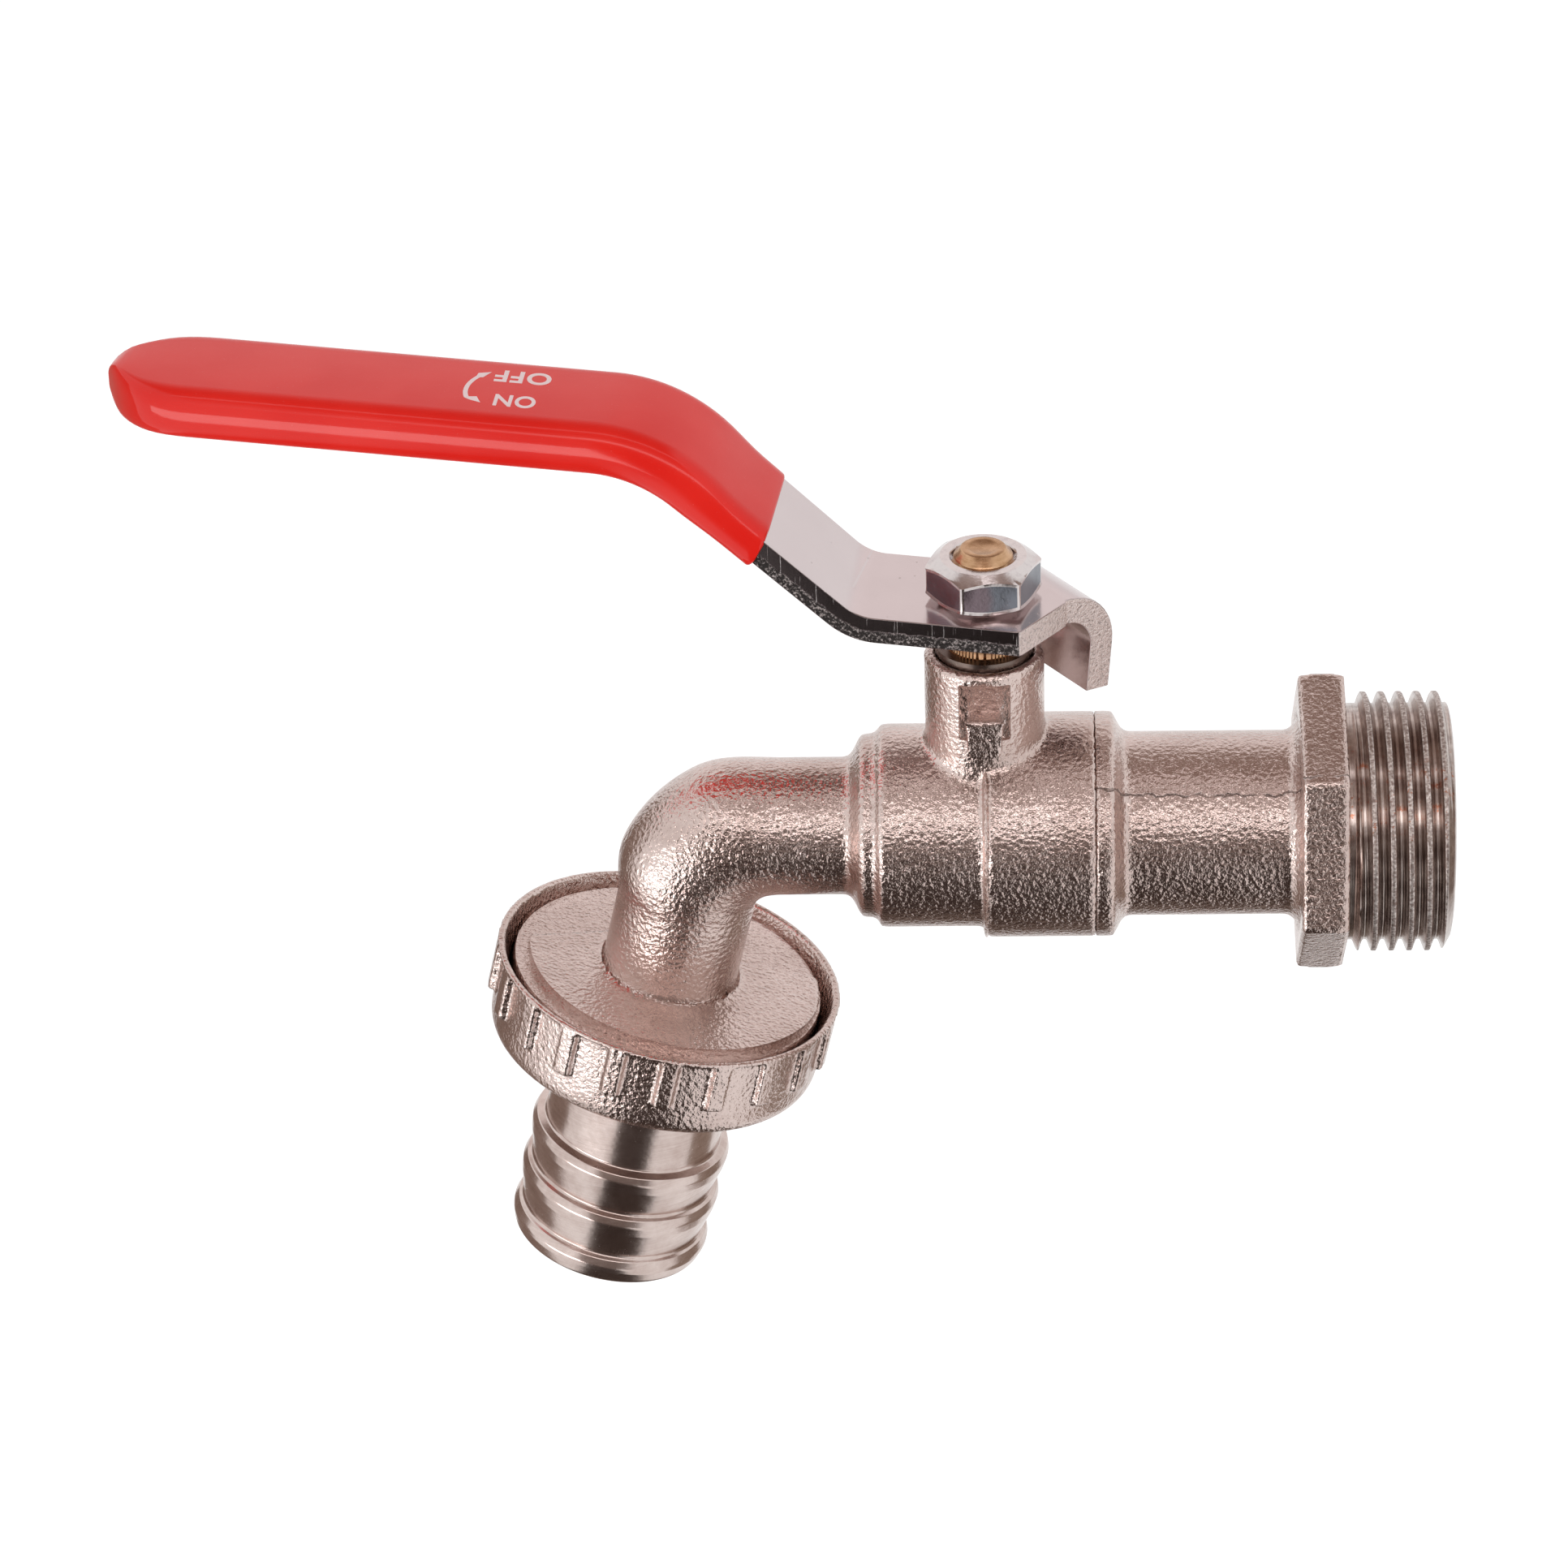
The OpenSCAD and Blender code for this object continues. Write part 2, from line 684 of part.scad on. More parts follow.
// The grip's sections from its mouth over the second bend and the taper to its end
function grip_sections() =
    let (centre = [-second_bend_x - second_tangent, handle_mid - second_bend_r],
        round_len = grip_end_len - grip_end_r,
        taper = asin(grip_end_r / norm([grip_w / 2, round_len])) + atan(round_len / (grip_w / 2)))
    concat(
        [grip_section([-first_bend_x - mouth_up * cos(slope), lever_mid + mouth_up * sin(slope)], slope,
            grip_w, grip_t)],
        [for (i = [0:grip_steps]) let (rise = slope * (1 - i / grip_steps))
            grip_section(centre + second_bend_r * [sin(rise), cos(rise)], rise, grip_w, grip_t)],
        [grip_section([-grip_full_x, handle_mid], 0, grip_w, grip_t)],
        [for (i = [0:end_steps]) let (a = taper * (1 - i / (end_steps + 0.3)), e = grip_end_r * (1 - cos(a)))
            grip_section([-lever_reach + e, handle_mid], 0, 2 * grip_end_r * sin(a), end_thickness(e))]);

// A closed solid through rings of points that all have the same count
module loft(rings) {
    n = len(rings[0]);
    last = len(rings) - 1;
    polyhedron(
        points = [for (ring = rings) each ring],
        faces = concat(
            [[for (j = [0:n - 1]) n - 1 - j]],
            [for (i = [0:last - 1], j = [0:n - 1]) [i * n + j, i * n + (j + 1) % n, (i + 1) * n + j]],
            [for (i = [0:last - 1], j = [0:n - 1])
                [i * n + (j + 1) % n, (i + 1) * n + (j + 1) % n, (i + 1) * n + j]],
            [[for (j = [0:n - 1]) last * n + j]]));
}

module grip_sleeve() {
    hollow = 2 * grip_gap;
    color("red")
        with_stem()
            difference() {
                loft(grip_sections());
                cranked_strip(lever_t + hollow, lever_w + hollow, strip_start, -grip_full_x - grip_gap);
            }
}

module lever_nut() {
    corner_r = nut_af / sqrt(3);
    turn = 0.6;
    edge_r = nut_af / 2 - 0.25;
    color([0.70, 0.72, 0.75])
        translate(stem_at)
            difference() {
                intersection() {
                    translate([0, 0, lever_top])
                        rotate([0, 0, nut_turn]) cylinder(r = corner_r, h = nut_h, $fn = 6);
                    rotate_extrude()
                        polygon([[0, lever_top], [edge_r, lever_top], [corner_r, lever_top + turn],
                            [corner_r, nut_top - turn], [edge_r, nut_top], [0, nut_top]]);
                }
                translate([0, 0, lever_top - 1]) cylinder(r = stem_thread_d / 2 + press_gap, h = nut_h + 2);
            }
}

module hose_washer() {
    color(rubber)
        translate(stem_at)
            at_outlet()
                difference() {
                    rod_outlet(flange_r - flange_bevel, washer_top, washer_top + hose_washer_h);
                    rod_outlet(tail_bore_d / 2, washer_top - 1, washer_top + hose_washer_h + 1);
                }
}

// One straight rib on the union nut
module nut_rib() {
    translate([nut_r - rib_w, -rib_w / 2, -nut_rim - rib_len])
        cube([rib_w, rib_w, rib_len - rim_band / 2]);
}

module union_nut() {
    wall_r = nut_r - flute_depth;
    foot = nut_foot_r;
    color(nickel)
        translate(stem_at)
            at_outlet()
                difference() {
                    union() {
                        turned_outlet([[0, nut_rim], [nut_r - rim_edge, nut_rim], [nut_r, nut_rim + rim_edge],
                            [nut_r, nut_rim + rim_band], [wall_r, nut_rim + rim_band + rim_edge],
                            for (a = [0:15:75]) [wall_r - foot + foot * cos(a), nut_foot - foot + foot * sin(a)],
                            [wall_r - foot, nut_foot], [0, nut_foot]]);
                        intersection() {
                            for (i = [0:rib_count - 1])
                                rotate([0, 0, first_rib + i * 360 / rib_count]) nut_rib();
                            rod_outlet(nut_r, nut_rim, nut_foot);
                        }
                    }
                    rod_outlet(union_bore_r, nut_rim - 1, lip_top);
                    rod_outlet(union_bore_r + nut_wall / 2, nut_rim - 1, nut_rim + mouth_depth);
                    rod_outlet(tail_d / 2 + tail_play, lip_top - 1, nut_foot + 1);
                }
}

// The outline of one barb's front, from radius and distance down the outlet axis
function barb(s) = let (crest = barb_d / 2)
    [[tail_d / 2, s], [crest - 0.2, s + 0.4], [crest, s + 0.9], [crest, s + crest_end]];

module hose_tail() {
    tail_flange_r = flange_r - flange_bevel;
    tail_r = tail_d / 2;
    crest = barb_d / 2;
    end_round = end_len - crest_end;
    color([0.72, 0.68, 0.67])
        translate(stem_at)
            at_outlet()
                difference() {
                    turned_outlet([[0, tail_flange_top], [tail_flange_r, tail_flange_top],
                        [tail_flange_r, tail_flange_top + tail_flange_h],
                        [tail_r, tail_flange_top + tail_flange_h],
                        for (i = [0:barb_count - 2]) let (s = first_barb + i * barb_pitch)
                            each concat(barb(s), [[crest - 0.25, s + 3], [tail_r, s + 4.4]]),
                        each barb(last_barb),
                        for (a = [30:30:90])
                            [crest - end_round * (1 - cos(a)), tail_end - end_round * (1 - sin(a))],
                        [0, tail_end]]);
                    rod_outlet(tail_bore_d / 2, tail_flange_top - 1, tail_end + 1);
                }
}

valve_body();
inlet_connector();
body_seal();
outlet_seat();
inlet_seat();
thrust_washer();
packing_lower();
packing_upper();
gland_nut();
ball();
stem();
stem_o_ring();
lever();
grip_sleeve();
lever_nut();
hose_washer();
union_nut();
hose_tail();
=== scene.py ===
"""Dressed model of a quarter-turn lever tap with a union nut and a hose tail.

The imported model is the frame. Each piece is worked in millimetres, with the
stem's axis at X = 0, and its last step takes it into the frame, in metres.
"""
import logging
import math
from contextlib import contextmanager
from dataclasses import dataclass
from enum import Enum
from typing import Any, Callable, Iterator, Sequence

import bmesh
import bpy
from mathutils import Matrix, Vector


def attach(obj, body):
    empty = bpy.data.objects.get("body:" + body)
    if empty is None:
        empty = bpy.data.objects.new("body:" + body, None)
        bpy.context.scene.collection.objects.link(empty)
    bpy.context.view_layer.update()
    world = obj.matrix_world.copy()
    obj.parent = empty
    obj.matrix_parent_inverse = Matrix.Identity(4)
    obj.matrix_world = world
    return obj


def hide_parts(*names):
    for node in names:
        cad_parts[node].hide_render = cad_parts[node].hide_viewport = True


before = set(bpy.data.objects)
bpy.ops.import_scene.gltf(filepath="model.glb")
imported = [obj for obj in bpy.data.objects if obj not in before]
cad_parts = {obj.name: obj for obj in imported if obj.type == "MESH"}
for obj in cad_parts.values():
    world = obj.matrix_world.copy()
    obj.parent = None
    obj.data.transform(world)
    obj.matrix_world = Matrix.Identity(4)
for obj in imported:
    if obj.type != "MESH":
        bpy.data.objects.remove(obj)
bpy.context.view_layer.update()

LOG = logging.getLogger("tap")

Piece = bpy.types.Object
Colour = tuple[float, float, float]
Corner = tuple[float, float, float]
Test = Callable[[Vector, Vector], bool]

STEM_X = -37.7
LEVER_TURN = math.radians(12)
OUTLET_TILT = math.radians(13.2)
ELBOW_X = -28.9
SEAM_WAY = (-0.669, 0.743)

TO_FRAME = Matrix.Scale(0.001, 4) @ Matrix.Translation((STEM_X, 0, 0))
ALONG_X = Matrix.Rotation(math.radians(90), 4, "Y")
WITH_LEVER = Matrix.Rotation(-LEVER_TURN, 4, "Z")
DOWN_OUTLET = Matrix.Translation((ELBOW_X, 0, 0)) @ Matrix.Rotation(math.pi + OUTLET_TILT, 4, "Y")


class Part(Enum):
    """What a selection is made of."""

    VERT = "VERT"
    EDGE = "EDGE"
    FACE = "FACE"


class Body(Enum):
    """The moving bodies that pieces ride on."""

    TAP = "tap_body"
    LEVER = "lever_set"
    CARRIER = "washer_carrier"
    UNION = "union"
    TAIL = "tail"


def smooth_step(value: float, low: float, high: float) -> float:
    """Ease a value from 0 at low to 1 at high."""
    t = min(max((value - low) / (high - low), 0.0), 1.0)
    return t * t * (3 - 2 * t)


def rounded(corners: Sequence[Corner], steps: int = 5) -> list[tuple[float, float]]:
    """Round the corners of a closed outline.

    Args:
        corners: Points as (x, y, rounding), where 0 keeps the corner sharp.
        steps: Number of short edges that make one rounding.

    Returns:
        The outline's points in order.
    """
    out: list[tuple[float, float]] = []
    for i, (x, y, r) in enumerate(corners):
        at = Vector((x, y))
        before = Vector(corners[i - 1][:2]) - at
        after = Vector(corners[(i + 1) % len(corners)][:2]) - at
        if r <= 0:
            out.append((x, y))
            continue
        half = before.angle(after) / 2
        reach = min(r / math.tan(half), before.length * 0.49, after.length * 0.49)
        a, b = at + before.normalized() * reach, at + after.normalized() * reach
        for k in range(steps + 1):
            t = k / steps
            p = a * (1 - t) ** 2 + at * 2 * t * (1 - t) + b * t * t
            out.append((p.x, p.y))
    return out


class Bench:
    """The modelling steps that the sub-assemblies share."""

    @staticmethod
    def clear() -> None:
        """Leave edit mode and deselect every object."""
        if bpy.context.object is not None and bpy.context.object.mode != "OBJECT":
            bpy.ops.object.mode_set(mode="OBJECT")
        bpy.ops.object.select_all(action="DESELECT")

    @classmethod
    def take(cls, *pieces: Piece) -> Piece:
        """Select these pieces alone and make the first one active."""
        cls.clear()
        for piece in pieces:
            piece.select_set(True)
        bpy.context.view_layer.objects.active = pieces[0]
        return pieces[0]

    @classmethod
    @contextmanager
    def editing(cls, piece: Piece, part: Part = Part.FACE, everything: bool = False) -> Iterator[None]:
        """Hold a piece in edit mode.

        Args:
            piece: The piece to edit.
            part: What selections are made of.
            everything: Whether all of it starts selected.
        """
        cls.take(piece)
        bpy.ops.object.mode_set(mode="EDIT")
        bpy.ops.mesh.select_mode(type=part.value)
        bpy.ops.mesh.select_all(action="SELECT" if everything else "DESELECT")
        yield
        bpy.ops.object.mode_set(mode="OBJECT")

    @staticmethod
    def pick(piece: Piece, part: Part, test: Test) -> int:
        """Select what a test accepts, in edit mode.

        Args:
            piece: The piece in edit mode.
            part: Vertices, edges or faces.
            test: Says yes to a place and its normal, or for an edge its direction.

        Returns:
            How many were selected.
        """
        mesh = bmesh.from_edit_mesh(piece.data)
        mesh.normal_update()
        found = 0
        if part is Part.VERT:
            items = [(v, v.co, v.normal) for v in mesh.verts]
        elif part is Part.EDGE:
            items = [(e, (e.verts[0].co + e.verts[1].co) / 2, (e.verts[1].co - e.verts[0].co).normalized())
                     for e in mesh.edges]
        else:
            items = [(f, f.calc_center_median(), f.normal) for f in mesh.faces]
        for item, place, normal in items:
            if test(place, normal):
                item.select_set(True)
                found += 1
        mesh.select_flush_mode()
        bmesh.update_edit_mesh(piece.data)
        return found

    @classmethod
    def seal(cls, piece: Piece, gap: float = 0.002) -> Piece:
        """Merge doubled points and turn every face outwards."""
        with cls.editing(piece, Part.VERT, everything=True):
            bpy.ops.mesh.remove_doubles(threshold=gap)
            bpy.ops.mesh.normals_make_consistent(inside=False)
        return piece

    @classmethod
    def trace(cls, name: str, points: Sequence[Vector], fill: bool = False) -> Piece:
        """Draw a closed outline by extruding one point from place to place.

        Args:
            name: The piece's name.
            points: The outline's corners in order.
            fill: Whether a face fills it.

        Returns:
            The outline as a mesh.
        """
        cls.clear()
        bpy.ops.mesh.primitive_plane_add(size=1)
        piece = bpy.context.object
        piece.name = name
        with cls.editing(piece, Part.VERT, everything=True):
            bpy.ops.mesh.merge(type="CENTER")
            bpy.ops.transform.translate(value=points[0])
            for here, there in zip(points, points[1:]):
                bpy.ops.mesh.extrude_region_move(TRANSFORM_OT_translate={"value": there - here})
            bpy.ops.mesh.select_all(action="DESELECT")
            ends = (points[0], points[-1])
            cls.pick(piece, Part.VERT, lambda p, n: min((p - e).length for e in ends) < 1e-5)
            bpy.ops.mesh.edge_face_add()
            if fill:
                bpy.ops.mesh.select_all(action="SELECT")
                bpy.ops.mesh.edge_face_add()
        return piece

    @classmethod
    def lathe(cls, name: str, outline: Sequence[tuple[float, float]], steps: int = 128) -> Piece:
        """Spin a closed outline of (radius, height) points round Z."""
        piece = cls.trace(name, [Vector((r, 0, z)) for r, z in outline])
        with cls.editing(piece, Part.VERT, everything=True):
            bpy.ops.mesh.spin(steps=steps, angle=math.tau, center=(0, 0, 0), axis=(0, 0, 1))
        return cls.seal(piece)

    @classmethod
    def modify(cls, piece: Piece, kind: str, **settings: Any) -> Piece:
        """Add a modifier with these settings and apply it."""
        cls.take(piece)
        bpy.ops.object.modifier_add(type=kind)
        modifier = piece.modifiers[-1]
        for key, value in settings.items():
            setattr(modifier, key, value)
        bpy.ops.object.modifier_apply(modifier=modifier.name)
        return piece

    @classmethod
    def combine(cls, piece: Piece, other: Piece, operation: str) -> Piece:
        """Join, cut or intersect a piece with another, which is used up."""
        cls.modify(piece, "BOOLEAN", object=other, operation=operation, solver="EXACT")
        cls.take(other)
        bpy.ops.object.delete()
        return piece

    @classmethod
    def block(cls, name: str, low: Sequence[float], high: Sequence[float]) -> Piece:
        """Make a block between two corners, as a start for a cutter or a pad."""
        cls.clear()
        bpy.ops.mesh.primitive_cube_add(size=1, location=[(a + b) / 2 for a, b in zip(low, high)],
                                        scale=[b - a for a, b in zip(low, high)])
        piece = bpy.context.object
        piece.name = name
        bpy.ops.object.transform_apply(location=True, rotation=True, scale=True)
        return piece

    @classmethod
    def place(cls, piece: Piece, where: Matrix) -> Piece:
        """Move and turn a piece's mesh."""
        cls.take(piece)
        piece.matrix_world = where
        bpy.ops.object.transform_apply(location=True, rotation=True, scale=True)
        return piece

    @classmethod
    def copy_node(cls, node: str, name: str) -> Piece:
        """Copy a CAD node, merged and brought to millimetres about the stem's axis."""
        cls.take(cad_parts[node])
        bpy.ops.object.duplicate()
        piece = bpy.context.object
        piece.name = name
        for key in [k for k in piece.keys() if k.startswith("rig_")]:
            del piece[key]
        piece.parent = None
        piece.matrix_world = TO_FRAME.inverted()
        bpy.ops.object.transform_apply(location=True, rotation=True, scale=True)
        return cls.seal(piece)

    @classmethod
    def reskin(cls, piece: Piece, voxel: float) -> Piece:
        """Give the piece one even skin of small faces."""
        return cls.modify(piece, "REMESH", mode="VOXEL", voxel_size=voxel, use_smooth_shade=True)

    @classmethod
    def soften(cls, piece: Piece, weight: Callable[[Vector], float], passes: int) -> Piece:
        """Smooth a dense skin where a weight says so.

        Args:
            piece: The piece.
            weight: Gives 0 to keep a place sharp and 1 to smooth it fully.
            passes: How often the smoothing is repeated.

        Returns:
            The same piece.
        """
        group = piece.vertex_groups.new(name="soft")
        for vertex in piece.data.vertices:
            amount = weight(vertex.co)
            if amount > 0:
                group.add([vertex.index], amount, "REPLACE")
        cls.modify(piece, "SMOOTH", factor=0.5, iterations=passes, vertex_group="soft")
        piece.vertex_groups.clear()
        return piece

    @classmethod
    def round_edges(cls, piece: Piece, width: float, segments: int = 2, angle: float = 35) -> Piece:
        """Round every edge that is sharper than an angle in degrees."""
        return cls.modify(piece, "BEVEL", width=width, segments=segments, limit_method="ANGLE",
                          angle_limit=math.radians(angle), use_clamp_overlap=True)

    @staticmethod
    def paint(piece: Piece, name: str, value: Callable[[Vector], float]) -> Piece:
        """Store a number at each point of the mesh, as an attribute that a finish reads."""
        layer = piece.data.attributes.new(name=name, type="FLOAT", domain="POINT")
        layer.data.foreach_set("value", [value(v.co) for v in piece.data.vertices])
        return piece

    @classmethod
    def settle(cls, piece: Piece, where: Matrix = Matrix.Identity(4), sharp: float | None = 32) -> Piece:
        """Take a finished piece into the frame.

        Args:
            piece: The piece, in millimetres.
            where: Its place about the stem's axis.
            sharp: Edges over this angle, in degrees, stay crisp; None smooths all.

        Returns:
            The same piece, in metres, with its object at the origin.
        """
        cls.take(piece)
        piece.matrix_world = TO_FRAME @ where
        bpy.ops.object.transform_apply(location=True, rotation=True, scale=True)
        if sharp is None:
            bpy.ops.object.shade_smooth()
        else:
            bpy.ops.object.shade_smooth_by_angle(angle=math.radians(sharp))
        return piece


class Num:
    """A number that varies over a surface. Its operators add Math nodes."""

    def __init__(self, mix: "Mix", socket: bpy.types.NodeSocket) -> None:
        """Wrap a socket of a finish that is being mixed."""
        self.mix, self.socket = mix, socket

    def _math(self, operation: str, *values: "Num | float") -> "Num":
        """Add one Math node."""
        return self.mix.math(operation, *values)

    def __add__(self, other: "Num | float") -> "Num":
        """Add."""
        return self._math("ADD", self, other)

    __radd__ = __add__

    def __sub__(self, other: "Num | float") -> "Num":
        """Subtract."""
        return self._math("SUBTRACT", self, other)

    def __rsub__(self, other: float) -> "Num":
        """Subtract from a plain number."""
        return self._math("SUBTRACT", other, self)

    def __mul__(self, other: "Num | float") -> "Num":
        """Multiply."""
        return self._math("MULTIPLY", self, other)

    __rmul__ = __mul__

    def __truediv__(self, other: "Num | float") -> "Num":
        """Divide."""
        return self._math("DIVIDE", self, other)

    def __abs__(self) -> "Num":
        """Drop the sign."""
        return self._math("ABSOLUTE", self)

    def least(self, other: "Num | float") -> "Num":
        """Take the smaller of two."""
        return self._math("MINIMUM", self, other)

    def most(self, other: "Num | float") -> "Num":
        """Take the larger of two."""
        return self._math("MAXIMUM", self, other)

    def ease(self, low: float, high: float) -> "Num":
        """Run smoothly from 0 at low to 1 at high."""
        made = self.mix.node("ShaderNodeMapRange", {"interpolation_type": "SMOOTHSTEP"},
                             {"Value": self, "From Min": low, "From Max": high})
        return Num(self.mix, made.outputs["Result"])


class Mix:
    """One finish while it is mixed: its material, its nodes and its places in millimetres."""

    def __init__(self, name: str) -> None:
        """Start a material with one surface shader."""
        self.material = bpy.data.materials.new(name)
        self.material.use_nodes = True
        self.tree = self.material.node_tree
        self.shader = self.tree.nodes["Principled BSDF"]
        coordinates = self.node("ShaderNodeTexCoord")
        self.place = self.turned(coordinates.outputs["Object"])

    def node(self, kind: str, settings: dict[str, Any] | None = None,
             sockets: dict[str | int, Any] | None = None) -> bpy.types.Node:
        """Add a node.

        Args:
            kind: The node's type.
            settings: Its own settings, set first. "stops" fills a colour ramp.
            sockets: Values or links for its inputs, by name or number.

        Returns:
            The node.
        """
        made = self.tree.nodes.new(kind)
        for key, value in (settings or {}).items():
            if key == "stops":
                ramp = made.color_ramp
                while len(ramp.elements) < len(value):
                    ramp.elements.new(0.5)
                for element, (at, colour) in zip(ramp.elements, value):
                    element.position, element.color = at, (*colour, 1)
            else:
                setattr(made, key, value)
        for key, value in (sockets or {}).items():
            self.feed(made.inputs[key], value)
        return made

    def feed(self, socket: bpy.types.NodeSocket, value: Any) -> None:
        """Link a socket to another one, or set its value."""
        if isinstance(value, Num):
            value = value.socket
        if isinstance(value, bpy.types.NodeSocket):
            self.tree.links.new(value, socket)
        elif isinstance(value, tuple) and socket.type == "RGBA":
            socket.default_value = (*value, 1)
        else:
            socket.default_value = value

    def math(self, operation: str, *values: Num | float) -> Num:
        """Add a Math node to these values."""
        made = self.node("ShaderNodeMath", {"operation": operation}, dict(enumerate(values)))
        return Num(self, made.outputs[0])

    def turned(self, source: bpy.types.NodeSocket, scale: Sequence[float] = (1000, 1000, 1000),
               shift: Sequence[float] = (0, 0, 0), turn: Sequence[float] = (0, 0, 0)) -> bpy.types.NodeSocket:
        """Scale, turn and shift places. The scale of 1000 brings metres to millimetres."""
        made = self.node("ShaderNodeMapping", None,
                         {"Vector": source, "Scale": tuple(scale), "Location": tuple(shift), "Rotation": tuple(turn)})
        return made.outputs["Vector"]

    def split(self, place: bpy.types.NodeSocket) -> tuple[Num, Num, Num]:
        """Give a place's three numbers."""
        made = self.node("ShaderNodeSeparateXYZ", None, {0: place})
        return Num(self, made.outputs[0]), Num(self, made.outputs[1]), Num(self, made.outputs[2])

    def noise(self, scale: float, detail: float = 2, rough: float = 0.5, place: Any = None,
              distortion: float = 0) -> Num:
        """Add noise of so many cells a millimetre."""
        made = self.node("ShaderNodeTexNoise", None,
                         {"Vector": place or self.place, "Scale": scale, "Detail": detail, "Roughness": rough,
                          "Distortion": distortion})
        return Num(self, made.outputs[0])

    def cells(self, scale: float, feature: str = "F1", place: Any = None) -> Num:
        """Add the distance to the nearest of scattered points, so many a millimetre."""
        made = self.node("ShaderNodeTexVoronoi", {"feature": feature},
                         {"Vector": place or self.place, "Scale": scale})
        return Num(self, made.outputs["Distance"])

    def attribute(self, name: str) -> Num:
        """Read a number that is stored on the mesh."""
        made = self.node("ShaderNodeAttribute", {"attribute_name": name})
        return Num(self, made.outputs["Fac"])

    def ramp(self, value: Num, stops: Sequence[tuple[float, Colour]]) -> bpy.types.NodeSocket:
        """Turn a number into a colour."""
        return self.node("ShaderNodeValToRGB", {"stops": stops}, {"Fac": value}).outputs["Color"]

    def blend(self, factor: Num, low: Any, high: Any, how: str = "MIX") -> bpy.types.NodeSocket:
        """Mix two colours."""
        made = self.node("ShaderNodeMix", {"data_type": "RGBA", "blend_type": how}, {0: factor, 6: low, 7: high})
        return made.outputs[2]

    def bump(self, *layers: tuple[Num, float]) -> None:
        """Raise the surface by layers of (height from 0 to 1, depth in millimetres)."""
        total: Num | None = None
        for height, depth in layers:
            part = height * depth
            total = part if total is None else total + part
        made = self.node("ShaderNodeBump", None, {"Height": total, "Distance": 0.001, "Strength": 1.0})
        self.feed(self.shader.inputs["Normal"], made.outputs["Normal"])

    def finish(self, **sockets: Any) -> bpy.types.Material:
        """Set the shader's sockets, with _ for a space in their names, and give the material."""
        for key, value in sockets.items():
            self.feed(self.shader.inputs[key.replace("_", " ")], value)
        return self.material


def dress(piece: Piece, *finishes: bpy.types.Material) -> Piece:
    """Give a piece its finishes, in slot order, and keep which face takes which."""
    chosen = [min(face.material_index, len(finishes) - 1) for face in piece.data.polygons]
    piece.data.materials.clear()
    for finish in finishes:
        piece.data.materials.append(finish)
    piece.data.polygons.foreach_set("material_index", chosen)
    return piece


def mount(piece: Piece, body: Body, slot: str, *nodes: str) -> Piece:
    """Let a piece ride on its body and stand for CAD nodes.

    Args:
        piece: The finished piece.
        body: The body that it moves with.
        slot: The record's material slot; not used.
        nodes: The CAD nodes that it replaces.

    Returns:
        The same piece.
    """
    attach(piece, body.value)
    if nodes:
        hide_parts(*nodes)
    LOG.info("%s: %d faces, rides on %s", piece.name, len(piece.data.polygons), body.value)
    return piece


@dataclass(frozen=True)
class BlastedNickel:
    """Nickel plate over a shot-blasted forging: crisp sparkling dimples on a slightly wavy skin."""

    name: str = "blasted_nickel"
    pale: Colour = (0.69, 0.565, 0.525)
    dark: Colour = (0.57, 0.45, 0.41)
    grain_depth: float = 0.12
    shot_depth: float = 0.06
    wave_depth: float = 0.01
    roughness: float = 0.13
    seam: tuple[float, float] | None = None

    def material(self) -> bpy.types.Material:
        """Mix the finish."""
        mix = Mix(self.name)
        grain = mix.noise(2.4, 2, 0.6)
        shot = mix.cells(1.9)
        wave = mix.noise(0.75, 2, 0.5)
        stain = mix.noise(0.12, 3, 0.6)
        colour = mix.blend((stain * 0.7 + grain * 0.3).ease(0.35, 0.65), self.dark, self.pale)
        layers = [(grain, self.grain_depth), (shot, self.shot_depth), (wave, self.wave_depth)]
        if self.seam is not None:
            _, y, z = mix.split(mix.place)
            line = (abs(y * self.seam[1] - z * self.seam[0] + wave * 1.4 - 0.7)).ease(0.16, 0.04) * y.ease(0.0, -1.0)
            broken = line * stain.ease(0.42, 0.5)
            colour = mix.blend(broken * 0.6, colour, (0.10, 0.06, 0.05))
            layers.append((broken, -0.12))
        mix.bump(*layers)
        return mix.finish(Base_Color=colour, Metallic=1.0, Roughness=self.roughness + 0.08 * stain)


@dataclass(frozen=True)
class TurnedNickel:
    """Nickel plate over turned brass, with fine tool marks round one axis."""

    name: str
    turn: tuple[float, float, float]
    tint: Colour = (0.70, 0.59, 0.55)
    shade: Colour = (0.50, 0.39, 0.35)
    roughness: float = 0.2
    marks: float = 0.004

    def material(self) -> bpy.types.Material:
        """Mix the finish."""
        mix = Mix(self.name)
        axis = mix.turned(mix.place, (0.12, 0.12, 5.0), (0, 0, 0), self.turn)
        rings = mix.noise(1.0, 4, 0.7, axis)
        stain = mix.noise(0.35, 3, 0.6)
        pits = mix.cells(1.7).ease(0.16, 0.05)
        worn = (rings * 0.3 + stain * 0.7).ease(0.25, 0.7)
        colour = mix.blend(pits * 0.3, mix.blend(worn, self.shade, self.tint), self.shade)
        mix.bump((rings, self.marks), (stain, 0.03))
        rough = self.roughness + 0.06 * stain + 0.08 * pits
        return mix.finish(Base_Color=colour, Metallic=1.0, Roughness=rough)


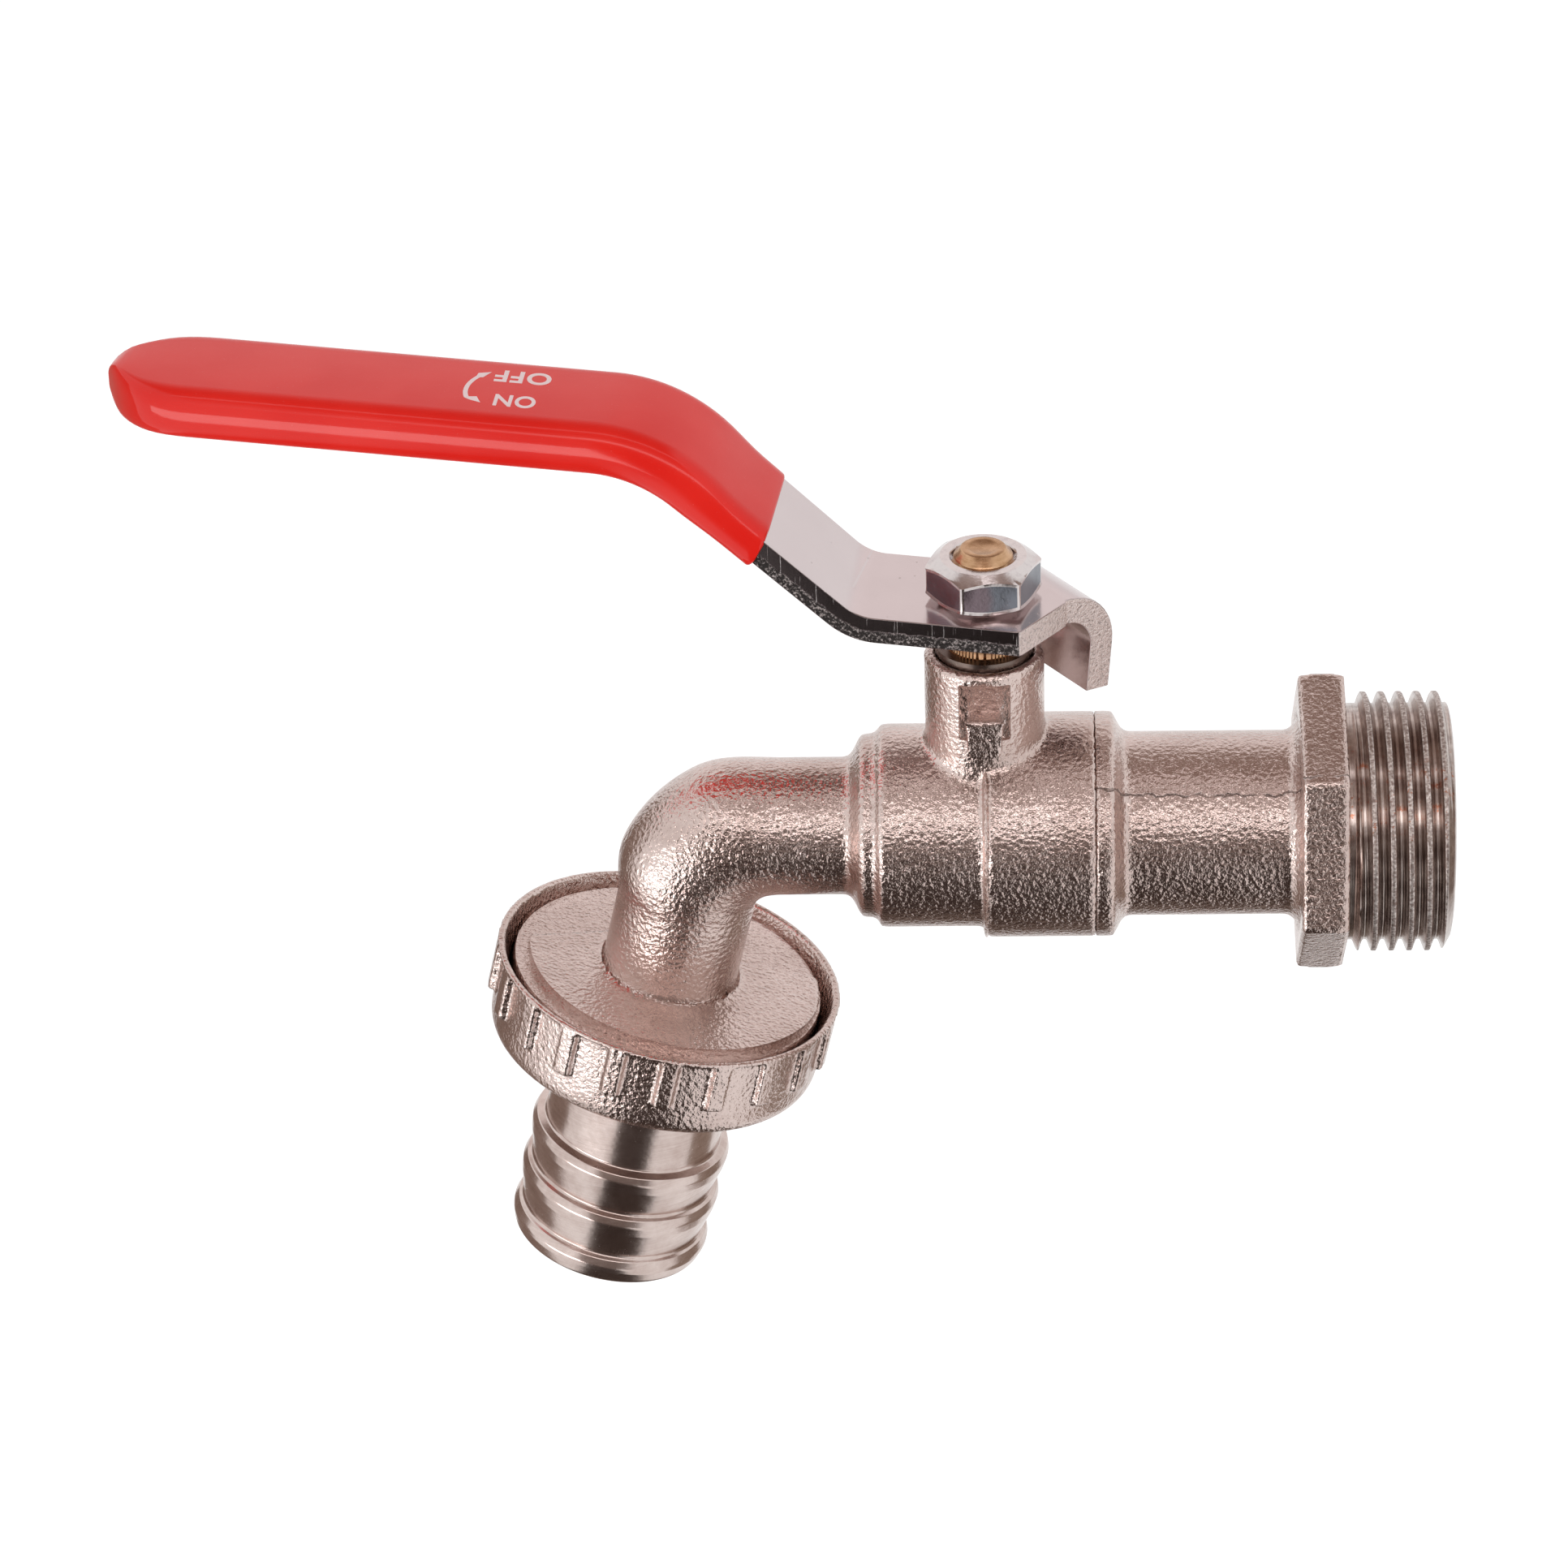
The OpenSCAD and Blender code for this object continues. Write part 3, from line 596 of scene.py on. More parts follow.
@dataclass(frozen=True)
class ThreadNickel:
    """The inlet thread: bright turned flanks and speckled, blasted crests."""

    name: str = "thread_nickel"
    flank: Colour = (0.62, 0.54, 0.50)
    root: Colour = (0.26, 0.19, 0.17)
    crest: Colour = (0.50, 0.43, 0.40)
    rust: Colour = (0.42, 0.13, 0.05)

    def material(self) -> bpy.types.Material:
        """Mix the finish."""
        mix = Mix(self.name)
        crest = mix.attribute("crest").ease(0.86, 0.98)
        speck = mix.noise(3.4, 3, 0.62)
        rings = mix.noise(1.0, 3, 0.6, mix.turned(mix.place, (7.0, 0.2, 0.2)))
        streak = mix.noise(0.5, 3, 0.6)
        side = mix.blend((rings * 0.4 + streak * 0.7).ease(0.3, 0.75), self.root, self.flank)
        top = mix.ramp(speck.ease(0.3, 0.7), [(0.0, self.root), (0.55, self.crest), (1.0, (0.78, 0.72, 0.69))])
        x, _, z = mix.split(mix.place)
        spots = mix.noise(1.3, 3, 0.7).ease(0.58, 0.66) * z.ease(4.0, 6.0) * z.ease(12.0, 10.0) * x.ease(46.0, 40.0)
        mix.bump((speck * crest, 0.05), (rings, 0.006))
        colour = mix.blend(spots * 0.75, mix.blend(crest, side, top), self.rust)
        return mix.finish(Base_Color=colour, Metallic=1.0, Roughness=0.16 + 0.26 * crest + 0.1 * streak)


@dataclass(frozen=True)
class LeverSteel:
    """Polished steel strip: long edges half burnished and half torn, end edges pale and crinkled. The burnished half
    is painted dark as a painted reflection, with its scratches painted pale as glints; the end edges' pale colour is a
    painted highlight.
    """

    name: str = "lever_steel"
    face: Colour = (0.66, 0.57, 0.57)
    # A painted dark reflection, and scratches painted pale as glints on it.
    dark_reflection: Colour = (0.12, 0.10, 0.10)
    scratch_glint: Colour = (0.90, 0.86, 0.86)
    torn: Colour = (0.46, 0.41, 0.40)
    # The end edges' pale colour: a painted highlight.
    crumpled_highlight: Colour = (0.95, 0.84, 0.81)
    crease_x: float = -12.7

    def material(self) -> bpy.types.Material:
        """Mix the finish."""
        mix = Mix(self.name)
        across = mix.attribute("across")
        edge = mix.attribute("edge").ease(0.4, 0.7)
        stub = mix.attribute("stub").ease(0.4, 0.6)
        ragged = across + 0.5 * mix.noise(1.3, 3, 0.6) - 0.25
        upper = ragged.ease(-0.16, 0.0) * edge
        cuts = mix.noise(1.0, 3, 0.7, mix.turned(mix.place, (5.0, 5.0, 0.12)))
        scratch = cuts.ease(0.645, 0.68)
        crumbs = mix.noise(3.2, 3, 0.7)
        haze = mix.noise(0.12, 3, 0.6)
        line = mix.noise(1.0, 2, 0.6, mix.turned(mix.place, (0.5, 14.0, 0.5), (0, 0, 0), (0, 0, LEVER_TURN)))
        lever_place = mix.turned(mix.place, (1, 1, 1), (-STEM_X * math.cos(LEVER_TURN), -STEM_X * math.sin(LEVER_TURN), 0),
                                 (0, 0, LEVER_TURN))
        along, aside, _ = mix.split(lever_place)
        crease = (abs(along - self.crease_x)).ease(0.30, 0.05) * aside.ease(-2.6, -1.6) * across.ease(0.8, 0.95)
        pits = mix.cells(0.5).ease(0.075, 0.035)
        clean = mix.blend(haze * 0.5, self.face, tuple(c * 0.85 for c in self.face))
        face = mix.blend((pits * 0.5 + crumbs.ease(0.4, 0.8) * 0.18).ease(0.0, 1.0), clean, self.torn)
        # The burnished band of the long edges: a painted dark reflection, with real scratches painted pale as glints.
        reflected_band = mix.blend(scratch, self.dark_reflection, self.scratch_glint)
        broken = mix.blend(crumbs.ease(0.50, 0.64), tuple(c * 0.1 for c in self.torn), self.torn)
        long_edge = mix.blend(upper, broken, reflected_band)
        # The end edges: their rough crumbs painted pale as a painted highlight.
        end_edge = mix.blend(crumbs.ease(0.32, 0.5), tuple(c * 0.6 for c in self.crumpled_highlight), self.crumpled_highlight)
        colour = mix.blend(edge, face, mix.blend(stub, long_edge, end_edge))
        lower = edge * (1 - upper) * (1 - stub)
        mix.bump((crumbs * lower, 0.2), (crumbs * (edge * stub), 0.24), (scratch * (upper * (1 - stub)), 0.02),
                 (line, 0.0015), (haze, 0.02), (crease, -0.05), (pits * (1 - edge), -0.02),
                 (crumbs * (1 - edge), 0.006))
        return mix.finish(Base_Color=colour, Metallic=1.0,
                          Roughness=0.14 + 0.06 * haze + 0.2 * lower + 0.14 * (edge * stub) + 0.03 * line)


@dataclass(frozen=True)
class WornPlate:
    """Zinc plate worn pale and bright on the nut's chamfers and borders."""

    name: str = "worn_plate"
    pale: Colour = (0.68, 0.62, 0.61)
    dull: Colour = (0.60, 0.54, 0.54)

    def material(self) -> bpy.types.Material:
        """Mix the finish."""
        mix = Mix(self.name)
        scuff = mix.noise(1.4, 3, 0.65)
        rings = mix.noise(1.0, 3, 0.6, mix.turned(mix.place, (0.3, 0.3, 6.0)))
        mix.bump((scuff, 0.012), (rings, 0.003))
        return mix.finish(Base_Color=mix.blend(scuff.ease(0.45, 0.75), self.pale, self.dull), Metallic=1.0,
                          Roughness=0.12 + 0.1 * scuff)


@dataclass(frozen=True)
class NutFacesPaintedShade:
    """Zinc plate on the nut's faces with fine scuffs, painted dark blue-grey as painted shade and purplish on one side
    as a painted reflection.
    """

    name: str = "nut_faces_painted_shade"
    # The faces' dark colours: painted shade, and a purplish painted reflection.
    steel: Colour = (0.20, 0.21, 0.24)
    violet: Colour = (0.22, 0.17, 0.19)
    worn: Colour = (0.48, 0.47, 0.49)

    def material(self) -> bpy.types.Material:
        """Mix the finish."""
        mix = Mix(self.name)
        cast = mix.noise(0.3, 2, 0.5)
        scuff = mix.noise(2.2, 3, 0.65)
        # One side tinted purplish: a painted reflection.
        side = (mix.attribute("violet") + cast * 0.6 - 0.3).ease(0.3, 0.7)
        colour = mix.blend(scuff.ease(0.62, 0.85), mix.blend(side, self.steel, self.violet), self.worn)
        mix.bump((scuff, 0.015))
        return mix.finish(Base_Color=colour, Metallic=1.0, Roughness=0.14 + 0.14 * scuff)


@dataclass(frozen=True)
class Brass:
    """Turned yellow brass, painted dark beyond a radius about the stem where one is given, as painted shade of the
    shadowed bore round it.
    """

    name: str = "turned_brass"
    tint: Colour = (0.68, 0.43, 0.26)
    shade: Colour = (0.40, 0.22, 0.11)
    shaded_from: float | None = None
    # The dark colour painted on beyond that radius as painted shade.
    plate: Colour = (0.20, 0.155, 0.135)

    def material(self) -> bpy.types.Material:
        """Mix the finish."""
        mix = Mix(self.name)
        rings = mix.noise(1.0, 3, 0.6, mix.turned(mix.place, (0.4, 0.4, 7.0)))
        stain = mix.noise(0.7, 3, 0.6)
        colour = mix.blend((stain * 0.7 + rings * 0.35).ease(0.3, 0.75), self.shade, self.tint)
        # Beyond the radius the colour is painted dark: painted shade of the shadowed bore round the gland.
        if self.shaded_from is not None:
            x, y, _ = mix.split(mix.turned(mix.place, (1, 1, 1), (-STEM_X, 0, 0)))
            radius = mix.math("SQRT", x * x + y * y)
            colour = mix.blend(radius.ease(self.shaded_from - 0.1, self.shaded_from + 0.1), colour, self.plate)
        mix.bump((rings, 0.008), (stain, 0.02))
        return mix.finish(Base_Color=colour, Metallic=1.0, Roughness=0.2 + 0.16 * stain)


@dataclass(frozen=True)
class RedVinyl:
    """Dipped red vinyl: soft, slightly uneven, with a satin skin."""

    name: str = "red_vinyl"
    red: Colour = (0.74, 0.008, 0.003)
    pale: Colour = (0.78, 0.014, 0.007)

    def material(self) -> bpy.types.Material:
        """Mix the finish."""
        mix = Mix(self.name)
        swell = mix.noise(0.10, 2, 0.5)
        peel = mix.noise(0.9, 3, 0.6)
        dust = mix.noise(4.0, 2, 0.7).ease(0.66, 0.8)
        colour = mix.blend(dust * 0.12, mix.blend(swell.ease(0.3, 0.7), self.red, self.pale), (0.8, 0.4, 0.36))
        mix.bump((swell, 0.12), (peel, 0.012))
        return mix.finish(Base_Color=colour, Metallic=0.0, Roughness=0.45 + 0.12 * peel, Specular_IOR_Level=0.05,
                          Coat_Weight=0.6 + 0.15 * swell, Coat_Roughness=0.08)


@dataclass(frozen=True)
class PaleInk:
    """Printed marks: a thin pale ink with small pinholes."""

    name: str = "pale_ink"
    ink: Colour = (0.86, 0.66, 0.66)

    def material(self) -> bpy.types.Material:
        """Mix the finish."""
        mix = Mix(self.name)
        thin = mix.noise(3.0, 3, 0.6)
        colour = mix.blend(thin.ease(0.62, 0.8), self.ink, (0.80, 0.36, 0.34))
        mix.bump((thin, 0.01))
        return mix.finish(Base_Color=colour, Metallic=0.0, Roughness=0.55 + 0.1 * thin)


@dataclass(frozen=True)
class Soft:
    """Plain rubber or seat plastic with a fine moulded skin."""

    name: str
    tint: Colour
    shade: Colour
    roughness: float = 0.5

    def material(self) -> bpy.types.Material:
        """Mix the finish."""
        mix = Mix(self.name)
        skin = mix.noise(5.0, 3, 0.6)
        cloud = mix.noise(0.4, 2, 0.5)
        mix.bump((skin, 0.01))
        return mix.finish(Base_Color=mix.blend(cloud, self.shade, self.tint), Metallic=0.0,
                          Roughness=self.roughness + 0.15 * skin)


@dataclass(frozen=True)
class Chrome:
    """Polished chrome on the ball."""

    name: str = "ball_chrome"

    def material(self) -> bpy.types.Material:
        """Mix the finish."""
        mix = Mix(self.name)
        haze = mix.noise(0.6, 3, 0.6)
        hair = mix.noise(1.0, 2, 0.6, mix.turned(mix.place, (12.0, 0.6, 0.6)))
        mix.bump((hair, 0.0015))
        return mix.finish(Base_Color=mix.blend(haze, (0.62, 0.62, 0.64), (0.72, 0.72, 0.73)), Metallic=1.0,
                          Roughness=0.08 + 0.08 * haze)


@dataclass
class ValveBody:
    """The forging: housing, neck with its stop lugs, curved spout and outlet flange."""

    voxel: float = 0.335
    seam_x: float = 11.1
    rim_z: float = 19.6
    flange_top: float = 17.7
    flange_r: float = 16.2
    spout_r: float = 7.1
    bore_r: float = 6.2
    bend_x: float = -21.766
    bend_r: float = 9.0
    swell: float = 1.05
    parting_step: float = 0.4
    pocket_half: float = 2.6
    pocket_low: float = 13.2
    pocket_high: float = 19.5
    pocket_floor: float = 5.2
    lug_reach: float = 9.5
    lug_half: float = 1.75
    lug_lean: float = 1.0
    ledge_r: float = 15.35
    ledge_deep: float = 0.5

    def _outer(self, at: Vector) -> float:
        """Say where the forging's skin is soft."""
        keep_seam = 1 - smooth_step(at.x, self.seam_x - 0.9, self.seam_x - 0.2)
        keep_rim = 1 - smooth_step(at.z, self.rim_z - 0.6, self.rim_z)
        return keep_seam * keep_rim

    def _junctions(self, at: Vector) -> float:
        """Say where fillets run: under the neck, at the spout's collar and at the flange."""
        radius = math.hypot(at.x, at.y)
        neck = smooth_step(at.z, 6.5, 9.5) * (1 - smooth_step(at.z, 12.4, 14.0)) * smooth_step(radius, 4.2, 5.4)
        collar = smooth_step(at.x, -15.5, -13.6) * (1 - smooth_step(at.x, -12.9, -12.0))
        local = DOWN_OUTLET.inverted() @ at
        around = math.hypot(local.x, local.y)
        disc = smooth_step(local.z, 14.5, 16.6) * smooth_step(around, 6.2, 7.0) * (1 - smooth_step(around, 8.4, 10))
        return max(neck * 0.8, collar, disc * 0.7) * self._outer(at)

    def _swell_elbow(self, body: Piece) -> None:
        """Push the outside of the elbow outwards, where the forging is fuller than a plain bend."""
        for vertex in body.data.vertices:
            away = Vector((vertex.co.x - self.bend_x, vertex.co.z + self.bend_r))
            turn = math.atan2(-away.x, away.y)
            share = smooth_step(turn, 0.0, 0.5) * (1 - smooth_step(turn, 1.1, 1.5))
            outer = smooth_step((away.length - self.bend_r) / self.spout_r, -0.1, 0.9)
            from_bore = math.hypot(away.length - self.bend_r, vertex.co.y)
            if share * outer > 0 and self.bore_r < from_bore < self.spout_r + 1:
                push = away.normalized() * (self.swell * share * outer)
                vertex.co.x += push.x
                vertex.co.z += push.y

    def _raise_parting(self, body: Piece) -> None:
        """Raise the flange's front half by the step where the dies met."""
        to_outlet = DOWN_OUTLET.inverted()
        lift = DOWN_OUTLET.to_3x3() @ Vector((0, 0, -self.parting_step))
        for vertex in body.data.vertices:
            local = to_outlet @ vertex.co
            around = math.hypot(local.x, local.y)
            if abs(local.z - self.flange_top) > 0.3 or around > self.flange_r:
                continue
            line = 3.5 if local.x < 0 else 0.5 + (16.4 - local.x) * 0.46
            vertex.co += lift * smooth_step(line - local.y, -0.1, 0.2)

    def _lug(self, front: float) -> Piece:
        """Shape one stop lug as a short wedge-sided block on the neck's front or back."""
        root = 4.6 * front
        reach = self.lug_reach * front
        foot = (self.lug_reach - self.lug_lean) * front
        side = [Vector((0, root, 16.0)), Vector((0, reach, 17.4)), Vector((0, foot, 13.3)), Vector((0, root, 12.6))]
        lug = Bench.trace("lug", [p - Vector((self.lug_half, 0, 0)) for p in side], fill=True)
        with Bench.editing(lug, everything=True):
            bpy.ops.mesh.extrude_region_move(TRANSFORM_OT_translate={"value": (2 * self.lug_half, 0, 0)})
        Bench.seal(lug)
        return Bench.round_edges(lug, 0.3, 3)

    def _dress_neck(self, body: Piece) -> None:
        """Cut both pockets into the neck and set their lugs."""
        for front in (-1.0, 1.0):
            near, far = sorted((self.pocket_floor * front, (self.lug_reach + 0.6) * front))
            pocket = Bench.block("pocket", (-self.pocket_half, near, self.pocket_low),
                                 (self.pocket_half, far, self.pocket_high))
            Bench.combine(body, Bench.round_edges(pocket, 0.2, 2), "DIFFERENCE")
            Bench.combine(body, self._lug(front), "UNION")

    def _step_ring(self) -> Piece:
        """Turn the thin sharp ridge where the housing steps up to its collar."""
        ring = Bench.lathe("step_ring", [(10.7, -0.32), (11.42, -0.16), (11.58, 0.02), (11.3, 0.3), (10.7, 0.4)], 96)
        return Bench.place(ring, ALONG_X)

    def _ledge(self) -> Piece:
        """Turn the off-centre ring that cuts the flange's edge down at its left front."""
        top, deep = self.flange_top - 0.6, self.flange_top + self.ledge_deep
        ring = Bench.lathe("ledge", [(self.ledge_r, top), (18.0, top), (18.0, deep), (self.ledge_r, deep)], 96)
        return Bench.place(ring, DOWN_OUTLET @ Matrix.Translation((-0.62, 0.55, 0)))

    def build(self, finish: bpy.types.Material) -> list[Piece]:
        """Model and dress the forging."""
        body = Bench.copy_node("valve_body", "body_forging")
        Bench.reskin(body, self.voxel)
        self._swell_elbow(body)
        Bench.soften(body, self._outer, 5)
        Bench.soften(body, self._junctions, 16)
        self._raise_parting(body)
        Bench.combine(body, self._step_ring(), "UNION")
        Bench.combine(body, self._ledge(), "DIFFERENCE")
        self._dress_neck(body)
        Bench.settle(body, sharp=40)
        return [mount(dress(body, finish), Body.TAP, "forged_nickel", "valve_body")]


@dataclass
class InletConnector:
    """Collar, tube, hexagon and the male inlet thread with its relief and chamfer."""

    voxel: float = 0.34
    cut_x: float = 36.2
    hex_x: float = 31.7
    hex_long: float = 4.75
    hex_r: float = 15.55
    hex_hole: float = 11.2
    seam_x: float = 11.1
    thread_start: float = 37.7
    thread_end: float = 46.3
    end_x: float = 47.2
    crest_r: float = 13.22
    root_r: float = 12.06
    pitch: float = 1.814

    def _outer(self, at: Vector) -> float:
        """Say where the forged skin is soft; the hexagon's edges are crisper."""
        ends = smooth_step(at.x, self.seam_x + 0.2, self.seam_x + 0.9) * (1 - smooth_step(at.x, 35.8, 36.3))
        return ends * (1 - 0.92 * smooth_step(math.hypot(at.y, at.z), 11.6, 12.6))

    def _ridge(self, x: float, angle: float) -> float:
        """Give the thread's height, 0 at its root and 1 at its crest."""
        phase = ((x - self.thread_start) / self.pitch - angle / math.tau + 0.5) % 1.0
        wave = 1 - abs(2 * phase - 1)
        return smooth_step(wave, 0.14, 0.80)

    def _hexagon(self) -> Piece:
        """Shape the hexagon with crisp, barely rounded corners."""
        turns = [math.radians(45 + 60 * corner) for corner in range(6)]
        points = [Vector((self.hex_x, self.hex_r * math.sin(a), -self.hex_r * math.cos(a))) for a in turns]
        piece = Bench.trace("hexagon", points, fill=True)
        with Bench.editing(piece, everything=True):
            bpy.ops.mesh.extrude_region_move(TRANSFORM_OT_translate={"value": (self.hex_long, 0, 0)})
        Bench.seal(piece)
        Bench.round_edges(piece, 0.35, 3)
        low, high = self.hex_x - 1, self.hex_x + self.hex_long + 1
        hole = Bench.lathe("hexagon_hole", [(0.0, low), (self.hex_hole, low), (self.hex_hole, high), (0.0, high)], 96)
        return Bench.combine(piece, Bench.place(hole, ALONG_X), "DIFFERENCE")

    def _forging(self) -> Piece:
        """Copy the forged end of the node and give it a soft skin."""
        piece = Bench.copy_node("inlet_connector", "inlet_forging")
        with Bench.editing(piece, everything=True):
            bpy.ops.mesh.bisect(plane_co=(self.cut_x, 0, 0), plane_no=(1, 0, 0), use_fill=True, clear_outer=True)
        Bench.combine(piece, self._hexagon(), "UNION")
        Bench.reskin(piece, self.voxel)
        return Bench.soften(piece, self._outer, 6)

    def _thread(self) -> Piece:
        """Turn the bored end and cut its thread."""
        rings = [self.thread_start - 0.9 + 0.11 * i for i in range(int((self.end_x - self.thread_start + 0.9) / 0.11))]
        outside = [(self.root_r, x) for x in rings]
        profile = [(6.75, 9.4), (6.75, 34.2), (9.75, 34.2), (9.75, 46.8), (10.1, 47.2), (11.0, 47.2),
                   *reversed(outside), (self.root_r, 35.4), (10.3, 35.4), (10.3, 33.7), (7.15, 33.7), (7.15, 9.4)]
        piece = Bench.lathe("inlet_thread", profile, 144)
        for vertex in piece.data.vertices:
            radius = math.hypot(vertex.co.x, vertex.co.y)
            if abs(radius - self.root_r) > 0.01 or vertex.co.z < self.thread_start - 0.95:
                continue
            x = vertex.co.z
            height = self._ridge(x, math.atan2(vertex.co.y, vertex.co.x))
            start = smooth_step(x, self.thread_start - 0.6, self.thread_start + 0.1)
            tall = self.root_r + (self.crest_r - self.root_r) * height * start
            chamfer = self.crest_r - 1.75 * max(x - self.thread_end, 0) - 0.1 * (x > self.thread_end)
            wanted = min(tall, chamfer)
            vertex.co.x *= wanted / radius
            vertex.co.y *= wanted / radius
        Bench.paint(piece, "crest", lambda p: (math.hypot(p.x, p.y) - self.root_r) / (self.crest_r - self.root_r))
        return piece

    def build(self, forged: bpy.types.Material, cut: bpy.types.Material) -> list[Piece]:
        """Model and dress the connector's forged and threaded ends."""
        forging = Bench.settle(self._forging(), sharp=None)
        thread = Bench.settle(self._thread(), ALONG_X, sharp=50)
        return [
            mount(dress(forging, forged), Body.TAP, "turned_nickel", "inlet_connector"),
            mount(dress(thread, cut), Body.TAP, "turned_nickel", "inlet_connector"),
        ]


@dataclass
class Lever:
    """Cranked steel strip with a folded stop tab, in axes that turn with the lever."""

    thick: float = 2.8
    half_width: float = 6.85
    underside: float = 23.9
    bend_x: float = -9.634
    slope: float = math.radians(39)
    first_r: float = 6.4
    second_x: float = -38.683
    second_z: float = 26.4
    second_r: float = 16.0
    steel_end: float = -81.8
    tab_turn: float = math.radians(48)
    tab_fold: float = 5.9
    fold_r: float = 3.1
    fold_turn: float = math.radians(96)
    tab_foot: float = 15.7
    skew: float = 1.7
    skew_start: float = -13.0
    skew_end: float = -42.0

    @property
    def middle(self) -> float:
        """Height of the strip's middle at the stem."""
        return self.underside + self.thick / 2

    @property
    def first_z(self) -> float:
        """Height of the first bend's centre."""
        return self.middle + self.first_r

    def slope_ends(self) -> tuple[Vector, Vector]:
        """Give the two ends of the sloping stretch on the strip's middle."""
        s, c = math.sin(self.slope), math.cos(self.slope)
        low = Vector((self.bend_x - self.first_r * s, 0, self.first_z - self.first_r * c))
        high = Vector((self.second_x + self.second_r * s, 0, self.second_z + self.second_r * c))
        return low, high

    def _across(self, at: Vector) -> float:
        """Give the height in the strip's thickness, from -1 underneath to 1 on top."""
        low, high = self.slope_ends()
        half = self.thick / 2
        out = at.x * math.cos(self.tab_turn) + at.y * math.sin(self.tab_turn) - self.tab_fold
        if out > 0 and at.x > -3:
            up = at.z - self.underside + self.fold_r
            if math.atan2(out, up) > self.fold_turn:
                reach = out * math.sin(self.fold_turn) + up * math.cos(self.fold_turn)
            else:
                reach = math.hypot(out, up)
            return (reach - self.fold_r - half) / half
        if at.x > self.bend_x:
            return (at.z - self.middle) / half
        if at.x > self.second_x:
            turn_low = math.atan2(self.bend_x - at.x, self.first_z - at.z)
            turn_high = math.atan2(at.x - self.second_x, at.z - self.second_z)
            if turn_low < self.slope and at.x > (low.x + high.x) / 2:
                return (self.first_r - math.hypot(at.x - self.bend_x, at.z - self.first_z)) / half
            if turn_high < self.slope and at.x < (low.x + high.x) / 2:
                return (math.hypot(at.x - self.second_x, at.z - self.second_z) - self.second_r) / half
            normal = Vector((math.sin(self.slope), 0, math.cos(self.slope)))
            return (at - low).dot(normal) / half
        return (at.z - self.second_z - self.second_r) / half

    def askew(self, piece: Piece) -> Piece:
        """Shift the far side of the arm, whose first bend was pressed slightly out of square."""
        for vertex in piece.data.vertices:
            along = vertex.co.x
            fade = min(max((along - self.skew_end) / (self.skew_start - self.skew_end), 0.0), 1.0)
            start = 1 - smooth_step(along, self.bend_x, self.bend_x + 4)
            vertex.co.x -= self.skew * fade * start * (vertex.co.y + self.half_width) / (2 * self.half_width)
        return piece

    def _strip(self) -> Piece:
        """Cut the blank, bend the arm up and fold the stop tab down."""
        w, low_face = self.half_width, self.underside
        outline = [(self.bend_x, -w), (4.8, -w), (5.2, -6.62), (8.36, 0.02), (8.295, 0.471), (1.209, w),
                   (self.bend_x, w)]
        piece = Bench.trace("lever_strip", [Vector((x, y, low_face)) for x, y in outline], fill=True)
        with Bench.editing(piece, everything=True):
            bpy.ops.mesh.extrude_region_move(TRANSFORM_OT_translate={"value": (0, 0, self.thick)})
        Bench.seal(piece)
        low, high = self.slope_ends()
        with Bench.editing(piece):
            Bench.pick(piece, Part.FACE, lambda p, n: n.x < -0.9)
            bpy.ops.mesh.spin(steps=10, angle=-self.slope, center=(self.bend_x, 0, self.first_z), axis=(0, 1, 0))
            bpy.ops.mesh.extrude_region_move(TRANSFORM_OT_translate={"value": high - low})
            bpy.ops.mesh.spin(steps=10, angle=self.slope, center=(self.second_x, 0, self.second_z), axis=(0, 1, 0))
            bpy.ops.mesh.extrude_region_move(
                TRANSFORM_OT_translate={"value": (self.steel_end - self.second_x, 0, 0)})
        across = Vector((math.cos(self.tab_turn), math.sin(self.tab_turn), 0))
        hinge = across * self.tab_fold + Vector((0, 0, self.underside - self.fold_r))
        with Bench.editing(piece):
            Bench.pick(piece, Part.FACE, lambda p, n: n.dot(across) > 0.98)
            bpy.ops.mesh.spin(steps=12, angle=-self.fold_turn, center=hinge, axis=(-across.y, across.x, 0))
            drop = self.underside - self.fold_r - self.tab_foot
            lean = across * (drop / math.tan(self.fold_turn))
            bpy.ops.mesh.extrude_region_move(TRANSFORM_OT_translate={"value": (lean.x, lean.y, -drop)})
        return Bench.seal(piece)

    def build(self, finish: bpy.types.Material) -> list[Piece]:
        """Model and dress the strip."""
        strip = self._strip()
        hole = Bench.lathe("hole", rounded([(0.0, 20, 0), (3.05, 20, 0), (3.05, 30, 0), (0.0, 30, 0)]), 48)
        Bench.combine(strip, hole, "DIFFERENCE")
        Bench.round_edges(strip, 0.13, 2, 50)
        Bench.paint(strip, "across", self._across)
        Bench.paint(strip, "edge", lambda p: 1.0 if abs(self._across(p)) < 0.95 else 0.0)
        Bench.paint(strip, "stub", lambda p: 1.0 if p.x > 4.95 or p.z < self.underside - 0.3 and p.x > 0 else 0.0)
        self.askew(strip)
        Bench.settle(strip, WITH_LEVER, 40)
        Bench.modify(strip, "WEIGHTED_NORMAL", keep_sharp=True)
        return [mount(dress(strip, finish), Body.LEVER, "lever_steel", "lever")]


